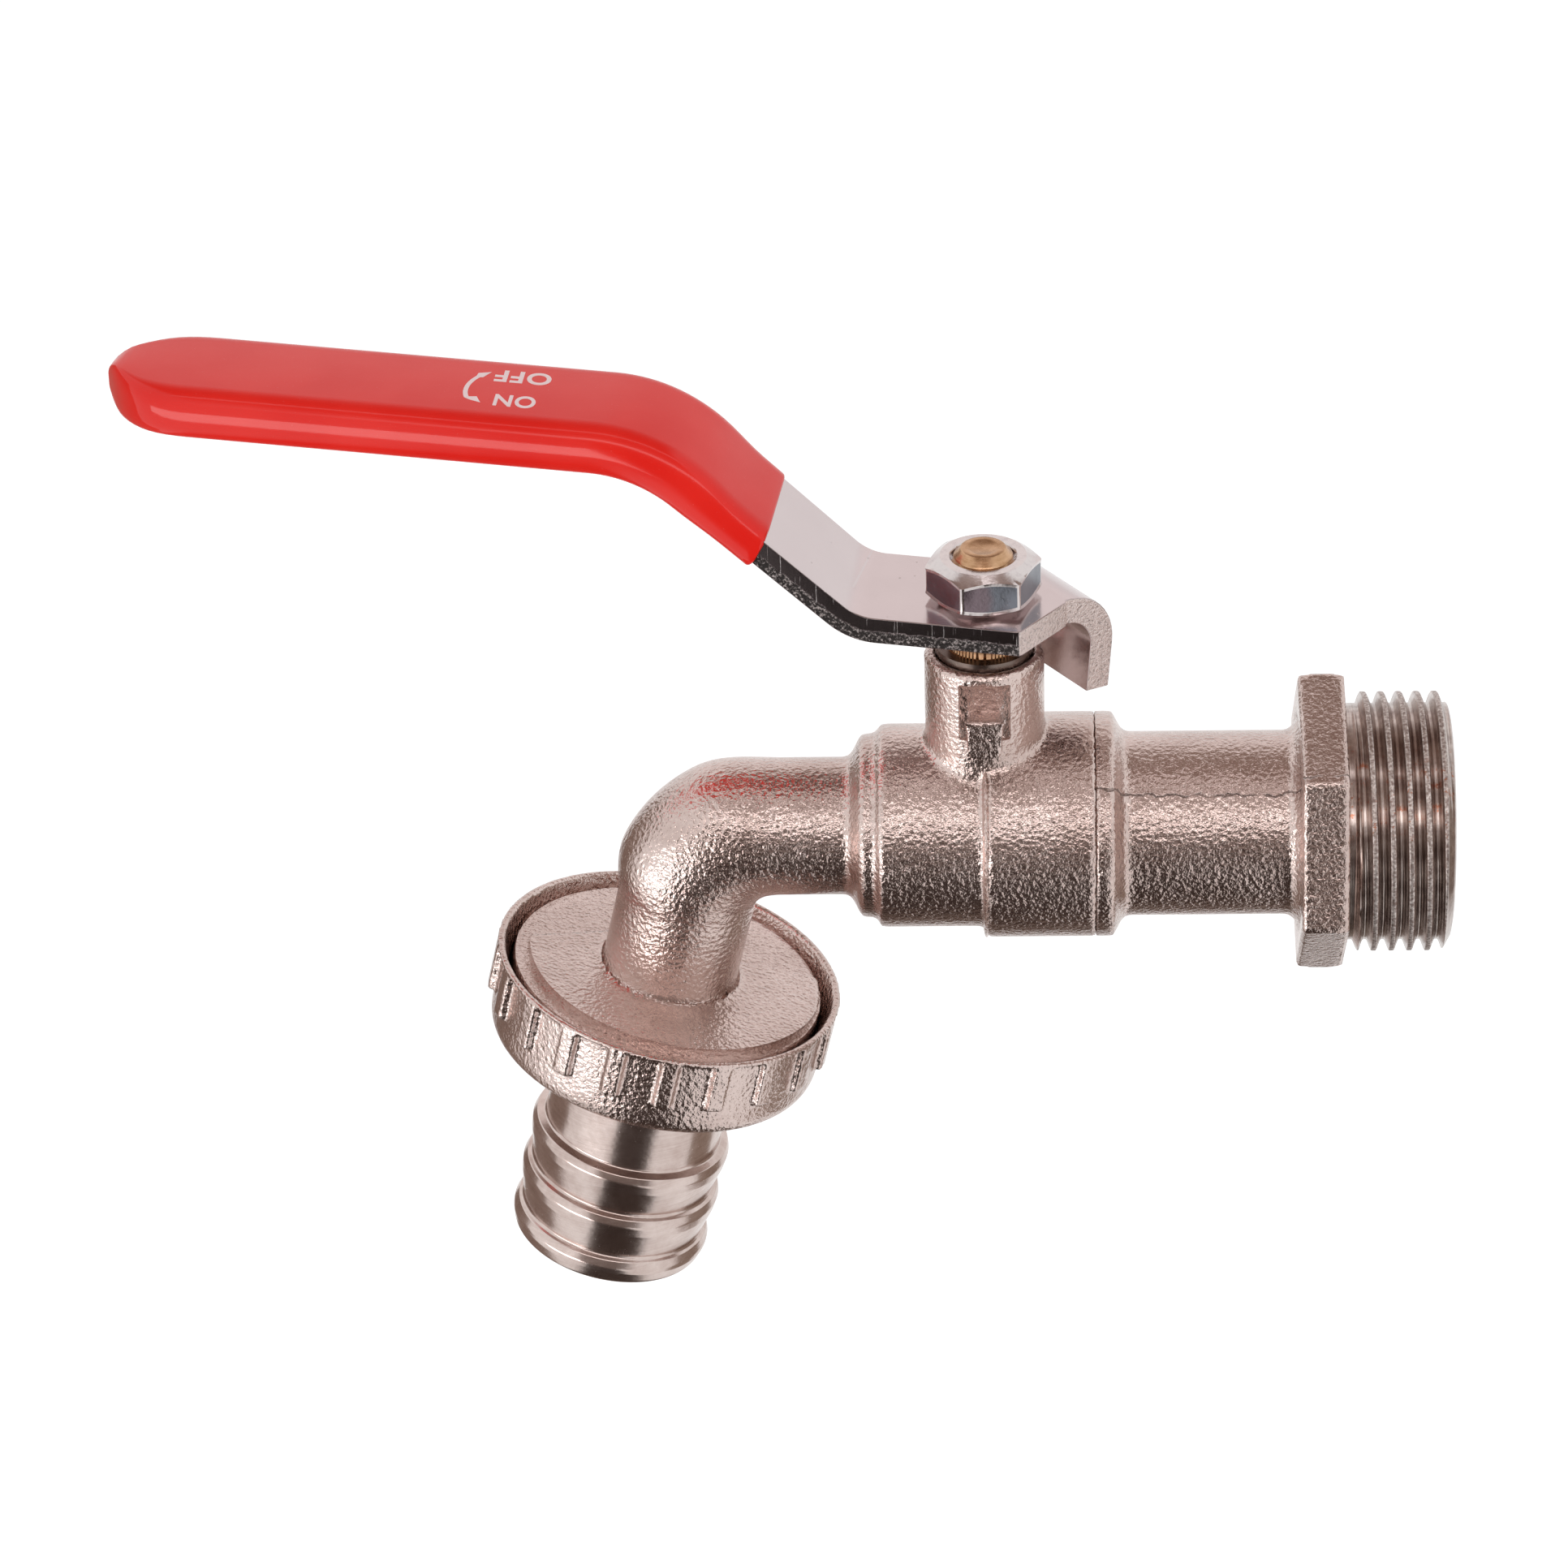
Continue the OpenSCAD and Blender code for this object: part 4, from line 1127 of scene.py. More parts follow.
@dataclass
class Grip:
    """Red dipped sleeve on the lever, with its printed marks."""

    lever: Lever
    width: float = 14.7
    thick: float = 5.54
    slope_thick: float = 4.8
    corner: float = 2.4
    mouth: float = 9.7
    lip: float = 0.7
    taper_x: float = -79.5
    tip_x: float = -90.8
    top_z: float = 45.2
    print_thick: float = 0.03

    def _half_width(self, x: float) -> float:
        """Give half the sleeve's width at a place along the lever."""
        share = min(max((self.taper_x - x) / (self.taper_x - self.tip_x), 0.0), 1.0)
        return self.width / 2 * (1 - share ** 3.2) ** 1.1

    def _sleeve(self) -> Piece:
        """Sweep the rounded section up the slope and along the arm, and close its tapered end."""
        lever = self.lever
        low, high = lever.slope_ends()
        rise = Vector((-math.cos(lever.slope), 0, math.sin(lever.slope)))
        normal = Vector((math.sin(lever.slope), 0, math.cos(lever.slope)))
        half_w, half_t = self.width / 2, self.thick / 2
        section = rounded([(-half_w, -half_t, self.corner), (half_w, -half_t, self.corner),
                           (half_w, half_t, self.corner), (-half_w, half_t, self.corner)], 7)
        points = [high + Vector((0, y, 0)) + normal * t for y, t in section]
        piece = Bench.trace("grip_sleeve_skin", points, fill=True)
        axis_z = lever.second_z + lever.second_r
        with Bench.editing(piece, everything=True):
            bpy.ops.mesh.spin(steps=14, angle=lever.slope, center=(lever.second_x, 0, lever.second_z),
                              axis=(0, 1, 0))
            here, wide, tall = lever.second_x, half_w, 1.0
            straight = [lever.second_x + (self.taper_x - lever.second_x) * k / 6 for k in range(1, 7)]
            taper = [self.taper_x + (self.tip_x + 0.02 - self.taper_x) * math.sin(math.pi / 2 * k / 16)
                     for k in range(1, 17)]
            for x in straight + taper:
                bpy.ops.mesh.extrude_region_move(TRANSFORM_OT_translate={"value": (x - here, 0, 0)})
                left = min(x - self.tip_x, self.corner)
                now_tall = (half_t - self.corner + math.sqrt(self.corner ** 2 - (self.corner - left) ** 2)) / half_t
                now_wide = self._half_width(x)
                bpy.ops.transform.resize(value=(1, now_wide / wide, now_tall / tall),
                                         center_override=(x, 0, axis_z))
                here, wide, tall = x, now_wide, now_tall
        Bench.seal(piece)
        with Bench.editing(piece):
            Bench.pick(piece, Part.FACE, lambda p, n: n.dot(rise) < -0.99)
            run = (high - low).length - self.mouth
            for k in range(1, 9):
                bpy.ops.mesh.extrude_region_move(TRANSFORM_OT_translate={"value": rise * (-run / 8)})
        self._thin_slope(piece, low, rise, normal)
        Bench.round_edges(piece, 0.3, 3, 60)
        return Bench.seal(lever.askew(piece))

    def _thin_slope(self, piece: Piece, low: Vector, rise: Vector, normal: Vector) -> None:
        """Thin the dipped skin down the slope and slant its mouth, which runs lower at the near foot."""
        length = (self.lever.slope_ends()[1] - low).length
        for vertex in piece.data.vertices:
            along, height = (vertex.co - low).dot(rise), (vertex.co - low).dot(normal)
            if vertex.co.x < self.lever.second_x or along > length - 0.001 or vertex.co.z < self.lever.underside:
                continue
            share = smooth_step(length - along, 0.0, 6.0)
            thin = 1 - share * (1 - self.slope_thick / self.thick)
            vertex.co += normal * (height * (thin - 1) - 0.1 * share)
            at_mouth = 1 - smooth_step(along, self.mouth + 0.001, self.mouth + 3.5)
            vertex.co += rise * (self.lip * smooth_step(height, -0.5, 2.3) * at_mouth)

    def _cavity(self) -> Piece:
        """Sweep the strip's own section, a little larger, for the sleeve's inside."""
        lever = self.lever
        low, high = lever.slope_ends()
        normal = Vector((math.sin(lever.slope), 0, math.cos(lever.slope)))
        w, t = lever.half_width + 0.06, lever.thick / 2 + 0.06
        points = [low + Vector((0, y, 0)) + normal * d for y, d in ((-w, -t), (w, -t), (w, t), (-w, t))]
        piece = Bench.trace("cavity", points, fill=True)
        with Bench.editing(piece, everything=True):
            for k in range(8):
                bpy.ops.mesh.extrude_region_move(TRANSFORM_OT_translate={"value": (high - low) / 8})
            bpy.ops.mesh.spin(steps=14, angle=lever.slope, center=(lever.second_x, 0, lever.second_z),
                              axis=(0, 1, 0))
            bpy.ops.mesh.extrude_region_move(
                TRANSFORM_OT_translate={"value": (lever.steel_end - 0.1 - lever.second_x, 0, 0)})
        return Bench.seal(lever.askew(piece))

    def _word(self, word: str, start_x: float, end_x: float, head_y: float, foot_y: float) -> Piece:
        """Print one word, read from the lever's far side.

        Args:
            word: The letters.
            start_x: Where the first letter starts along the lever.
            end_x: Where the last one ends.
            head_y: Across the lever, where the letters' tops are.
            foot_y: Where their feet are.

        Returns:
            The word as a thin mesh.
        """
        Bench.clear()
        bpy.ops.object.text_add()
        text = bpy.context.object
        text.data.body = word
        text.data.size = 3.5
        text.data.extrude = self.print_thick
        text.data.offset = 0.085
        text.data.space_character = 1.08
        bpy.ops.object.convert(target="MESH")
        piece = bpy.context.object
        piece.name = f"print_{word.lower()}"
        xs = [v.co.x for v in piece.data.vertices]
        ys = [v.co.y for v in piece.data.vertices]
        wide, high = max(xs) - min(xs), max(ys) - min(ys)
        slant = 0.12 * (foot_y - head_y)
        for vertex in piece.data.vertices:
            along = (vertex.co.x - min(xs)) / wide
            up = (vertex.co.y - min(ys)) / high
            vertex.co.x = start_x + (end_x - start_x) * along + slant * (up - 0.5)
            vertex.co.y = foot_y + (head_y - foot_y) * up
            vertex.co.z += self.top_z - self.print_thick
        return Bench.seal(piece, 0.0005)

    def _arrow(self) -> Piece:
        """Print the curved arrow with its two heads."""
        centre, radius, half = Vector((-47.75, -0.05, 0)), 5.0, 0.24
        start, end = math.radians(153), math.radians(207)
        turns = [start + (end - start) * k / 14 for k in range(15)]
        ring = [centre + Vector((math.cos(a), math.sin(a), 0)) * (radius + half) for a in turns]
        back = [centre + Vector((math.cos(a), math.sin(a), 0)) * (radius - half) for a in reversed(turns)]
        low_head = [Vector((-51.8, -2.8, 0)), Vector((-50.5, -3.25, 0)), Vector((-51.2, -2.05, 0))]
        high_head = [Vector((-51.7, 2.15, 0)), Vector((-51.15, 3.4, 0)), Vector((-52.4, 2.95, 0))]
        points = [p + Vector((0, 0, self.top_z - 2 * self.print_thick)) for p in ring + low_head + back + high_head]
        piece = Bench.trace("print_arrow", points, fill=True)
        with Bench.editing(piece, everything=True):
            bpy.ops.mesh.extrude_region_move(TRANSFORM_OT_translate={"value": (0, 0, 2 * self.print_thick)})
        return Bench.seal(piece)

    def build(self, vinyl: bpy.types.Material, ink: bpy.types.Material) -> list[Piece]:
        """Model and dress the sleeve and its print."""
        sleeve = self._sleeve()
        Bench.combine(sleeve, self._cavity(), "DIFFERENCE")
        Bench.settle(sleeve, WITH_LEVER, 40)
        made = [mount(dress(sleeve, vinyl), Body.LEVER, "red_vinyl", "grip_sleeve")]
        marks = [self._word("OFF", -44.75, -50.6, 1.5, 4.05), self._word("ON", -45.0, -49.3, -3.65, -1.15),
                 self._arrow()]
        for mark in marks:
            Bench.settle(mark, WITH_LEVER)
            made.append(mount(dress(mark, ink), Body.LEVER, "red_vinyl"))
        return made


@dataclass
class LeverNut:
    """Hexagon nut on the lever and the stem's threaded end in it."""

    across_flats: float = 10.3
    foot: float = 26.7
    height: float = 4.6
    turned: float = math.radians(38)
    bore_r: float = 2.72
    stem_r: float = 3.0
    proud: float = 0.9
    panel_border: float = 0.34
    panel_deep: float = 0.07

    def _hexagon(self) -> Piece:
        """Shape the hexagon with soft corners and chamfered ends."""
        top = self.foot + self.height
        corner = self.across_flats / math.sqrt(3)
        flat = self.across_flats / 2
        Bench.clear()
        bpy.ops.mesh.primitive_cylinder_add(vertices=6, radius=corner, depth=self.height,
                                            location=(0, 0, self.foot + self.height / 2))
        piece = bpy.context.object
        piece.name = "lever_nut_hexagon"
        bpy.ops.object.transform_apply(location=True, rotation=True, scale=True)
        with Bench.editing(piece, Part.EDGE):
            Bench.pick(piece, Part.EDGE, lambda p, n: abs(n.z) > 0.9)
            bpy.ops.mesh.bevel(offset=0.22, offset_type="OFFSET", segments=3)
        blank = Bench.lathe("blank", [(0.0, self.foot), (flat - 0.55, self.foot), (flat + 0.05, self.foot + 0.5),
                                      (corner, self.foot + 0.85), (corner, top - 1.0), (flat + 0.05, top - 0.6),
                                      (flat - 0.8, top), (0.0, top)], 96)
        return Bench.combine(piece, blank, "INTERSECT")

    def _nut(self) -> Piece:
        """Sink the faces a little, round their corners and bore the nut."""
        top = self.foot + self.height
        flat = self.across_flats / 2
        piece = self._hexagon()
        with Bench.editing(piece):
            Bench.pick(piece, Part.FACE, lambda p, n: abs(n.z) < 0.05 and math.hypot(p.x, p.y) > flat - 0.01)
            bpy.ops.mesh.inset(thickness=self.panel_border, depth=-self.panel_deep)
        hole = Bench.lathe("hole", [(0.0, self.foot - 1), (self.bore_r, self.foot - 1), (self.bore_r, top - 0.9),
                                    (3.5, top + 0.1), (0.0, top + 0.1)], 64)
        Bench.combine(piece, hole, "DIFFERENCE")
        Bench.round_edges(piece, 0.05, 2, 24)
        panel = flat - self.panel_deep
        # Slot 1, the sunken panel faces, takes the painted shade and painted reflection.
        for face in piece.data.polygons:
            out = math.hypot(face.center.x, face.center.y)
            face.material_index = int(abs(face.normal.z) < 0.05 and abs(out - panel) < 0.02)
        # Which side takes the purplish painted reflection.
        return Bench.paint(piece, "violet", lambda p: smooth_step(-p.x, 2.4, 4.2))

    def _stem_end(self) -> Piece:
        """Turn the stem's threaded end, with its flat, slightly dished tip."""
        top = self.foot + self.height + self.proud
        outline = [(0.0, top - 0.16), (1.25, top - 0.14), (1.5, top - 0.03), (2.15, top), (2.3, top - 0.08),
                   (2.45, top - 0.35), (2.9, top - 0.75)]
        z = top - 0.95
        while z > self.foot + 0.4:
            outline += [(self.stem_r, z), (self.stem_r - 0.42, z - 0.4)]
            z -= 0.8
        outline += [(self.stem_r - 0.4, self.foot), (0.0, self.foot)]
        return Bench.lathe("stem_end", outline, 72)

    def build(self, worn: bpy.types.Material, plate: bpy.types.Material, brass: bpy.types.Material) -> list[Piece]:
        """Model and dress the nut, the stem's end and the stem's shaft below it."""
        nut = Bench.settle(self._nut(), Matrix.Rotation(self.turned, 4, "Z"), 30)
        end = Bench.settle(self._stem_end(), sharp=35)
        shaft = Bench.copy_node("stem", "stem_shaft")
        with Bench.editing(shaft, everything=True):
            bpy.ops.mesh.bisect(plane_co=(0, 0, self.foot), plane_no=(0, 0, 1), use_fill=True, clear_outer=True)
        Bench.settle(shaft)
        return [
            # The nut's panel faces carry painted shade and a purplish painted reflection.
            mount(dress(nut, worn, plate), Body.LEVER, "zinc_steel", "lever_nut"),
            mount(dress(end, brass), Body.LEVER, "stem_brass", "stem"),
            mount(dress(shaft, brass), Body.LEVER, "stem_brass", "stem"),
        ]


@dataclass
class UnionNut:
    """Ribbed union nut round the outlet flange. Heights run down the outlet axis."""

    rim: float = 17.2
    foot: float = 27.0
    rib_r: float = 18.1
    wall_r: float = 17.3
    mouth_r: float = 17.4
    bore_r: float = 16.35
    foot_r: float = 2.2
    lip_top: float = 25.25
    lip_r: float = 9.7
    ribs: int = 20
    first_rib: float = -87
    rib_width: float = 2.0
    rib_length: float = 5.9
    voxel: float = 0.22

    def _shell(self) -> Piece:
        """Turn the nut without its ribs."""
        outline = rounded([
            (self.mouth_r, self.rim, 0.2), (self.rib_r, self.rim, 0.2), (self.rib_r, self.rim + 0.35, 0.15),
            (self.wall_r, self.rim + 0.75, 0.2), (self.wall_r, self.foot, self.foot_r), (self.lip_r, self.foot, 0.3),
            (self.lip_r, self.lip_top, 0), (self.bore_r, self.lip_top, 0), (self.bore_r, self.rim + 2.6, 0),
            (self.mouth_r - 0.75, self.rim + 1.9, 0)], 7)
        return Bench.lathe("nut_ribbed", outline, 160)

    def _rib(self) -> Piece:
        """Shape one rib: a pad with slightly drafted sides."""
        length = self.rib_length - 0.3
        half = self.rib_width / 2
        rib = Bench.block("rib", (self.wall_r - 0.15, -half, self.rim + 0.3),
                          (self.rib_r, half, self.rim + 0.3 + length))
        with Bench.editing(rib):
            Bench.pick(rib, Part.FACE, lambda p, n: n.x > 0.9)
            bpy.ops.transform.resize(value=(1, 0.86, 0.965), center_override=(self.rib_r, 0, self.rim + 0.3 + length / 2))
        return Bench.round_edges(rib, 0.12, 2)

    def build(self, finish: bpy.types.Material) -> list[Piece]:
        """Model and dress the nut."""
        nut = self._shell()
        first = self._rib()
        pads = [first]
        for i in range(1, self.ribs):
            Bench.take(first)
            bpy.ops.object.duplicate()
            pad = bpy.context.object
            pad.rotation_euler.z = -math.tau * i / self.ribs
            bpy.ops.object.transform_apply(location=True, rotation=True, scale=True)
            pads.append(pad)
        Bench.take(*pads)
        bpy.ops.object.transform_apply(location=True, rotation=True, scale=True)
        bpy.ops.transform.rotate(value=math.radians(self.first_rib + 180), orient_axis="Z",
                                 center_override=(0, 0, 0))
        bpy.ops.object.transform_apply(location=True, rotation=True, scale=True)
        Bench.take(nut, *pads)
        bpy.ops.object.join()
        Bench.reskin(nut, self.voxel)
        Bench.soften(nut, lambda p: smooth_step(math.hypot(p.x, p.y), 16.9, 17.15), 2)
        Bench.settle(nut, DOWN_OUTLET, sharp=None)
        return [mount(dress(nut, finish), Body.UNION, "nut_nickel", "union_nut")]


@dataclass
class HoseTail:
    """Barbed hose tail. Heights run down the outlet axis."""

    top: float = 23.8
    flange_r: float = 15.7
    flange_h: float = 1.4
    tube_r: float = 9.3
    bore_r: float = 7.3
    barb_r: float = 10.5
    first_barb: float = 36.9
    pitch: float = 5.4
    barbs: int = 3
    end: float = 51.2

    def build(self, finish: bpy.types.Material) -> list[Piece]:
        """Model and dress the tail."""
        r, crest = self.tube_r, self.barb_r
        corners: list[Corner] = [
            (self.bore_r, self.top, 0.2), (self.flange_r, self.top, 0.3), (self.flange_r, self.top + self.flange_h, 0.3),
            (r, self.top + self.flange_h, 0.4)]
        for i in range(self.barbs):
            s = self.first_barb + i * self.pitch
            last = i == self.barbs - 1
            top = crest - 0.1 if last else crest
            foot = r if i == 0 else r + 0.32
            corners += [(foot, s, 0.4), (top - 0.3, s + 0.3, 0.3), (top, s + 1.1, 0.8)]
            if not last:
                corners += [(top - 0.12, s + 2.2, 1.1), (r + 0.62, s + 4.2, 1.2)]
        corners += [(crest - 0.1, self.end - 1.9, 0.5), (crest - 0.5, self.end - 0.5, 0.9),
                    (crest - 1.95, self.end, 0.5), (self.bore_r, self.end, 0.35)]
        tail = Bench.lathe("tail_barbed", rounded(corners, 10), 144)
        Bench.settle(tail, DOWN_OUTLET, 60)
        return [mount(dress(tail, finish), Body.TAIL, "tail_nickel", "hose_tail")]


@dataclass
class Studio:
    """Camera, pale floor and soft lamps."""

    azimuth: float = math.radians(2.127)
    elevation: float = math.radians(30.455)
    roll: float = math.radians(-1.577)
    distance: float = 0.671085
    lens: float = 151.27
    target: tuple[float, float, float] = (-0.058196, 0.0, 0.004972)
    floor_z: float = -0.30
    middle: tuple[float, float, float] = (-0.045, 0.0, 0.01)
    screen_r: float = 0.9
    brightest: float = 3.0

    def camera(self) -> None:
        """Stand the camera where the photograph was taken."""
        az, el = self.azimuth, self.elevation
        back = Vector((math.sin(az) * math.cos(el), -math.cos(az) * math.cos(el), math.sin(el)))
        right = (-back).cross(Vector((0, 0, 1))).normalized()
        up = right.cross(-back)
        across = right * math.cos(self.roll) + up * math.sin(self.roll)
        above = up * math.cos(self.roll) - right * math.sin(self.roll)
        data = bpy.data.cameras.new("camera")
        data.lens, data.sensor_width, data.sensor_fit = self.lens, 36.0, "HORIZONTAL"
        data.clip_start, data.clip_end = 0.01, 20.0
        camera = bpy.data.objects.new("camera", data)
        bpy.context.scene.collection.objects.link(camera)
        turn = Matrix((across, above, back)).transposed().to_4x4()
        camera.matrix_world = Matrix.Translation(Vector(self.target) + back * self.distance) @ turn
        bpy.context.scene.camera = camera

    def lamp(self, name: str, at: Vector, aim: Vector, size: tuple[float, float], power: float,
             colour: Colour = (1, 1, 1)) -> None:
        """Hang one soft rectangular lamp.

        Args:
            name: Its name.
            at: Its place.
            aim: The place that it faces.
            size: Its width and height.
            power: Its power in watts.
            colour: Its tint.
        """
        data = bpy.data.lights.new(name, "AREA")
        data.shape, data.size, data.size_y, data.energy, data.color = "RECTANGLE", *size, power, colour
        lamp = bpy.data.objects.new(name, data)
        lamp.matrix_world = Matrix.Translation(at) @ (aim - at).to_track_quat("-Z", "Y").to_matrix().to_4x4()
        lamp.visible_glossy = False
        bpy.context.scene.collection.objects.link(lamp)

    def toward(self, azimuth: float, elevation: float, distance: float) -> Vector:
        """Give the place that far from the tap, at angles in degrees; azimuth 0 is in front."""
        az, el = math.radians(azimuth), math.radians(elevation)
        way = Vector((math.sin(az) * math.cos(el), -math.cos(az) * math.cos(el), math.sin(el)))
        return Vector(self.middle) + way * distance

    def card(self, name: str, at: Vector, aim: Vector, size: tuple[float, float], tone: Colour) -> None:
        """Hang one dim card that only reflections meet.

        Args:
            name: Its name.
            at: Its place.
            aim: The place that it faces.
            size: Its width and height.
            tone: How bright it looks in a reflection.
        """
        Bench.clear()
        bpy.ops.mesh.primitive_grid_add(x_subdivisions=6, y_subdivisions=6, size=1)
        card = bpy.context.object
        card.name = name
        with Bench.editing(card, everything=True):
            bpy.ops.transform.resize(value=(size[0], size[1], 1))
        card.matrix_world = Matrix.Translation(at) @ (aim - at).to_track_quat("Z", "Y").to_matrix().to_4x4()
        bpy.ops.object.transform_apply(location=True, rotation=True, scale=True)
        dress(card, Mix(name).finish(Base_Color=(0.0, 0.0, 0.0), Roughness=1.0, Specular_IOR_Level=0.0,
                                     Emission_Color=tone, Emission_Strength=1.0))
        self.hide_from_lens(card)

    def screen(self, name: str, span: tuple[float, float], sides: tuple[float, float],
               tones: Sequence[tuple[float, Colour]]) -> None:
        """Curve a screen over the tap, along its length, that only reflections meet.

        Args:
            name: Its name.
            span: Its first and last elevation in degrees; over 90 is behind the tap.
            sides: How far it reaches to the left and right of the middle.
            tones: How bright it looks in a reflection, by elevation.
        """
        Bench.clear()
        bpy.ops.mesh.primitive_grid_add(x_subdivisions=24, y_subdivisions=180, size=1)
        screen = bpy.context.object
        screen.name = name
        start, end = span
        layer = screen.data.attributes.new(name="elevation", type="FLOAT", domain="POINT")
        for vertex, value in zip(screen.data.vertices, layer.data):
            share = vertex.co.y + 0.5
            value.value = share
            angle = math.radians(start + (end - start) * share)
            x = sides[0] + (sides[1] - sides[0]) * (vertex.co.x + 0.5)
            vertex.co = Vector(self.middle) + Vector((x, -math.cos(angle) * self.screen_r, math.sin(angle) * self.screen_r))
        Bench.paint(screen, "aside", lambda p: abs(p.x - self.middle[0] - sum(sides) / 2) / (sides[1] - sides[0]))
        mix = Mix(name)
        stops = [((at - start) / (end - start), tuple(c / self.brightest for c in tone)) for at, tone in tones]
        tone, white = mix.ramp(mix.attribute("elevation"), stops), (1 / self.brightest,) * 3
        dress(screen, mix.finish(Base_Color=(0.0, 0.0, 0.0), Roughness=1.0, Specular_IOR_Level=0.0,
                                 Emission_Color=mix.blend(mix.attribute("aside").ease(0.36, 0.5), tone, white),
                                 Emission_Strength=self.brightest))
        self.hide_from_lens(screen)

    @staticmethod
    def hide_from_lens(piece: Piece) -> None:
        """Let only reflections meet a piece of the studio."""
        piece.visible_camera = False
        piece.visible_shadow = False
        piece.visible_diffuse = False
        piece.visible_transmission = False

    def floor(self) -> None:
        """Lay the pale floor."""
        Bench.clear()
        bpy.ops.mesh.primitive_grid_add(x_subdivisions=24, y_subdivisions=24, size=9,
                                        location=(0, 0, self.floor_z))
        floor = bpy.context.object
        floor.name = "floor"
        bpy.ops.object.transform_apply(location=True, rotation=True, scale=True)
        mix = Mix("floor_paper")
        fibre = mix.noise(0.02, 3)
        mix.bump((fibre, 0.2))
        dress(floor, mix.finish(Base_Color=mix.blend(fibre, (0.93, 0.93, 0.93), (0.96, 0.96, 0.96)), Roughness=0.9,
                                Specular_IOR_Level=0.1, Emission_Color=(1.0, 1.0, 1.0), Emission_Strength=0.5))
        floor.visible_glossy = False

    def world(self) -> None:
        """Fill the room with plain light and show it white."""
        world = bpy.data.worlds.new("room")
        bpy.context.scene.world = world
        world.use_nodes = True
        tree = world.node_tree
        path = tree.nodes.new("ShaderNodeLightPath")
        shown = tree.nodes.new("ShaderNodeMath")
        shown.operation = "MAXIMUM"
        tree.links.new(path.outputs["Is Camera Ray"], shown.inputs[0])
        tree.links.new(path.outputs["Is Transmission Ray"], shown.inputs[1])
        seen = tree.nodes.new("ShaderNodeMath")
        seen.operation = "MAXIMUM"
        tree.links.new(shown.outputs[0], seen.inputs[0])
        tree.links.new(path.outputs["Is Glossy Ray"], seen.inputs[1])
        strength = tree.nodes.new("ShaderNodeMapRange")
        strength.inputs["To Min"].default_value = 0.55
        strength.inputs["To Max"].default_value = 1.0
        tree.links.new(seen.outputs[0], strength.inputs["Value"])
        background = tree.nodes["Background"]
        background.inputs["Color"].default_value = (1, 1, 1, 1)
        tree.links.new(strength.outputs["Result"], background.inputs["Strength"])

    def build(self) -> None:
        """Set the whole studio."""
        bpy.context.scene.view_settings.view_transform = "Standard"
        self.camera()
        self.floor()
        self.world()
        middle = Vector(self.middle)
        self.lamp("overhead_strip", self.toward(0, 76, 0.6), middle, (0.7, 0.1), 0.7)
        self.lamp("front_box", self.toward(-4, 36, 1.1), middle, (1.0, 0.55), 2.2)
        self.screen("table_screen", (-125, -8), (-0.50, 0.24), [
            (-125, (0.3, 0.24, 0.21)), (-100, (0.12, 0.09, 0.075)), (-80, (0.06, 0.043, 0.036)),
            (-40, (0.05, 0.037, 0.032)), (-22, (0.08, 0.062, 0.055)), (-8, (0.14, 0.11, 0.10))])
        self.screen("room_screen", (-8, 174), (-0.55, 0.55), [
            (-8, (0.14, 0.11, 0.10)), (2, (0.19, 0.155, 0.14)), (14, (0.3, 0.25, 0.23)), (27, (0.55, 0.48, 0.46)),
            (30, (2.8, 2.7, 2.7)), (38, (2.8, 2.7, 2.7)), (41, (0.7, 0.63, 0.6)), (58, (0.40, 0.32, 0.29)),
            (74, (0.5, 0.42, 0.4)), (76, (1.7, 1.6, 1.6)), (80, (1.7, 1.6, 1.6)), (82, (0.45, 0.36, 0.33)),
            (97, (0.32, 0.23, 0.2)), (115, (0.28, 0.2, 0.17)), (130, (0.42, 0.34, 0.31)), (146, (1.0, 0.94, 0.93)),
            (155, (1.05, 0.99, 0.98)), (166, (0.9, 0.85, 0.85)), (174, (0.95, 0.93, 0.93))])
        self.card("right_wall", self.toward(105, -22, 0.7), middle, (0.5, 1.0), (0.31, 0.24, 0.2))
        self.card("left_wall", self.toward(-122, -22, 0.7), middle, (0.65, 1.0), (0.27, 0.2, 0.17))
        window = Vector((-0.34, -0.22, -0.07))
        self.card("left_window", window, window + Vector((0.35, 1, 0.2)), (0.28, 0.09), (4.2, 4.05, 4.05))


def dress_nodes(finishes: dict[str, bpy.types.Material]) -> None:
    """Dress the CAD nodes that stay as they are."""
    for node, finish in finishes.items():
        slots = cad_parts[node].material_slots
        for slot in slots:
            slot.material = finish
        LOG.info("%s: CAD node dressed in %s", node, finish.name)


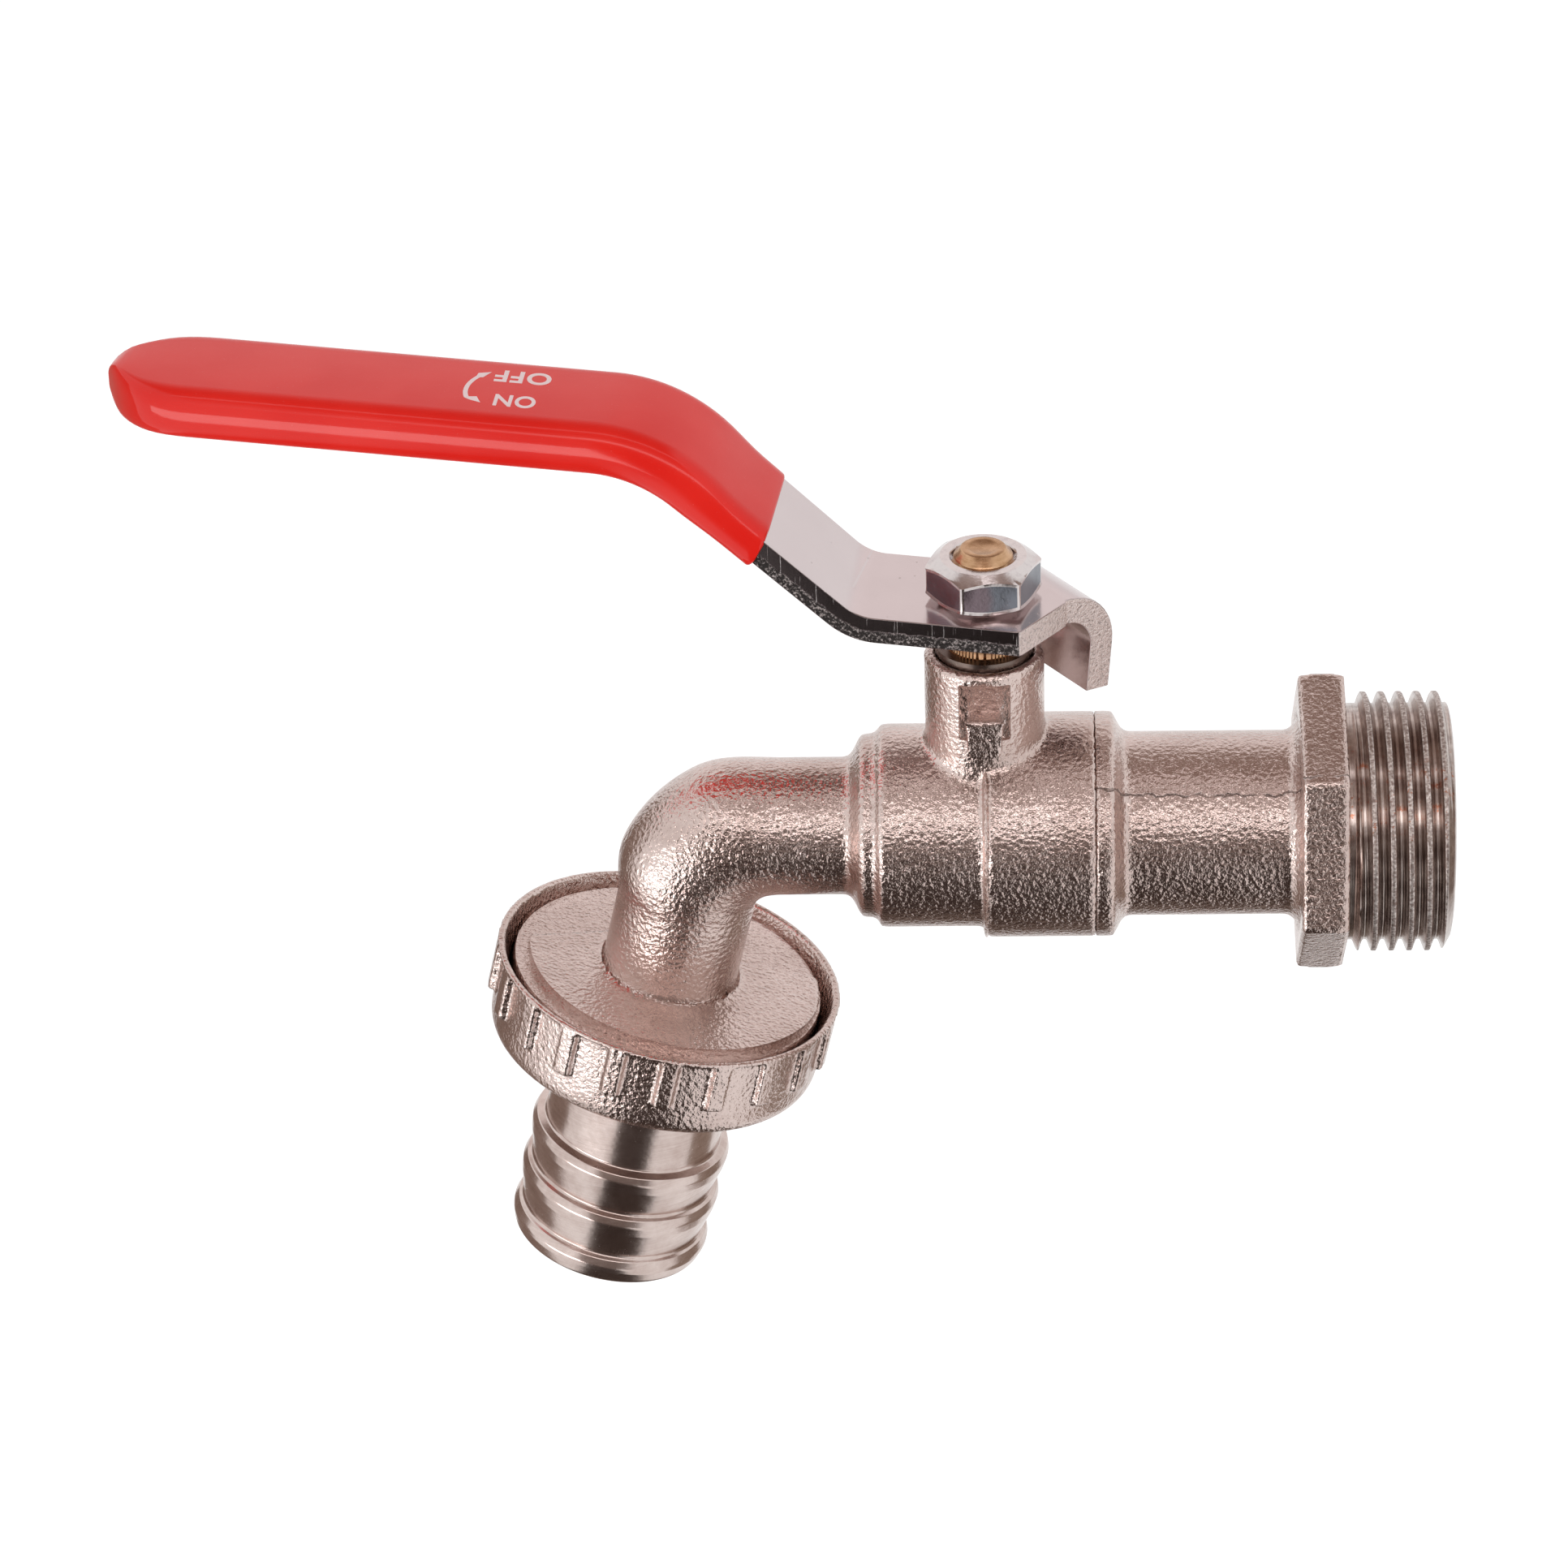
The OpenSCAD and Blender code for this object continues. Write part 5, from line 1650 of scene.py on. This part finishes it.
def main() -> None:
    """Build the tap piece by piece and report each one."""
    logging.basicConfig(level=logging.INFO, format="%(name)s: %(message)s")
    brass = Brass().material()
    blasted = BlastedNickel().material()
    seat = Soft("seat_plastic", (0.80, 0.79, 0.75), (0.70, 0.69, 0.65), 0.4).material()
    rubber = Soft("black_rubber", (0.03, 0.03, 0.03), (0.018, 0.018, 0.018), 0.6).material()
    lever = Lever()
    made = ValveBody().build(blasted)
    inlet_skin = BlastedNickel("blasted_inlet", seam=SEAM_WAY).material()
    made += InletConnector().build(inlet_skin, ThreadNickel().material())
    made += lever.build(LeverSteel().material())
    made += Grip(lever).build(RedVinyl().material(), PaleInk().material())
    made += LeverNut().build(WornPlate().material(), NutFacesPaintedShade().material(), brass)
    made += UnionNut().build(BlastedNickel("blasted_nut").material())
    made += HoseTail().build(TurnedNickel("polished_tail", (0, -OUTLET_TILT, 0), roughness=0.17).material())
    # The gland's rim beyond 3.9 mm takes painted shade.
    gland = Brass("gland_brass", shaded_from=3.9).material()
    dress_nodes({"gland_nut": gland, "ball": Chrome().material(), "body_seal": seat, "outlet_seat": seat,
                 "inlet_seat": seat, "thrust_washer": seat, "packing_lower": seat, "packing_upper": seat,
                 "stem_o_ring": rubber, "hose_washer": rubber})
    Studio().build()
    LOG.info("%d pieces made", len(made))


if __name__ == "__main__":
    main()
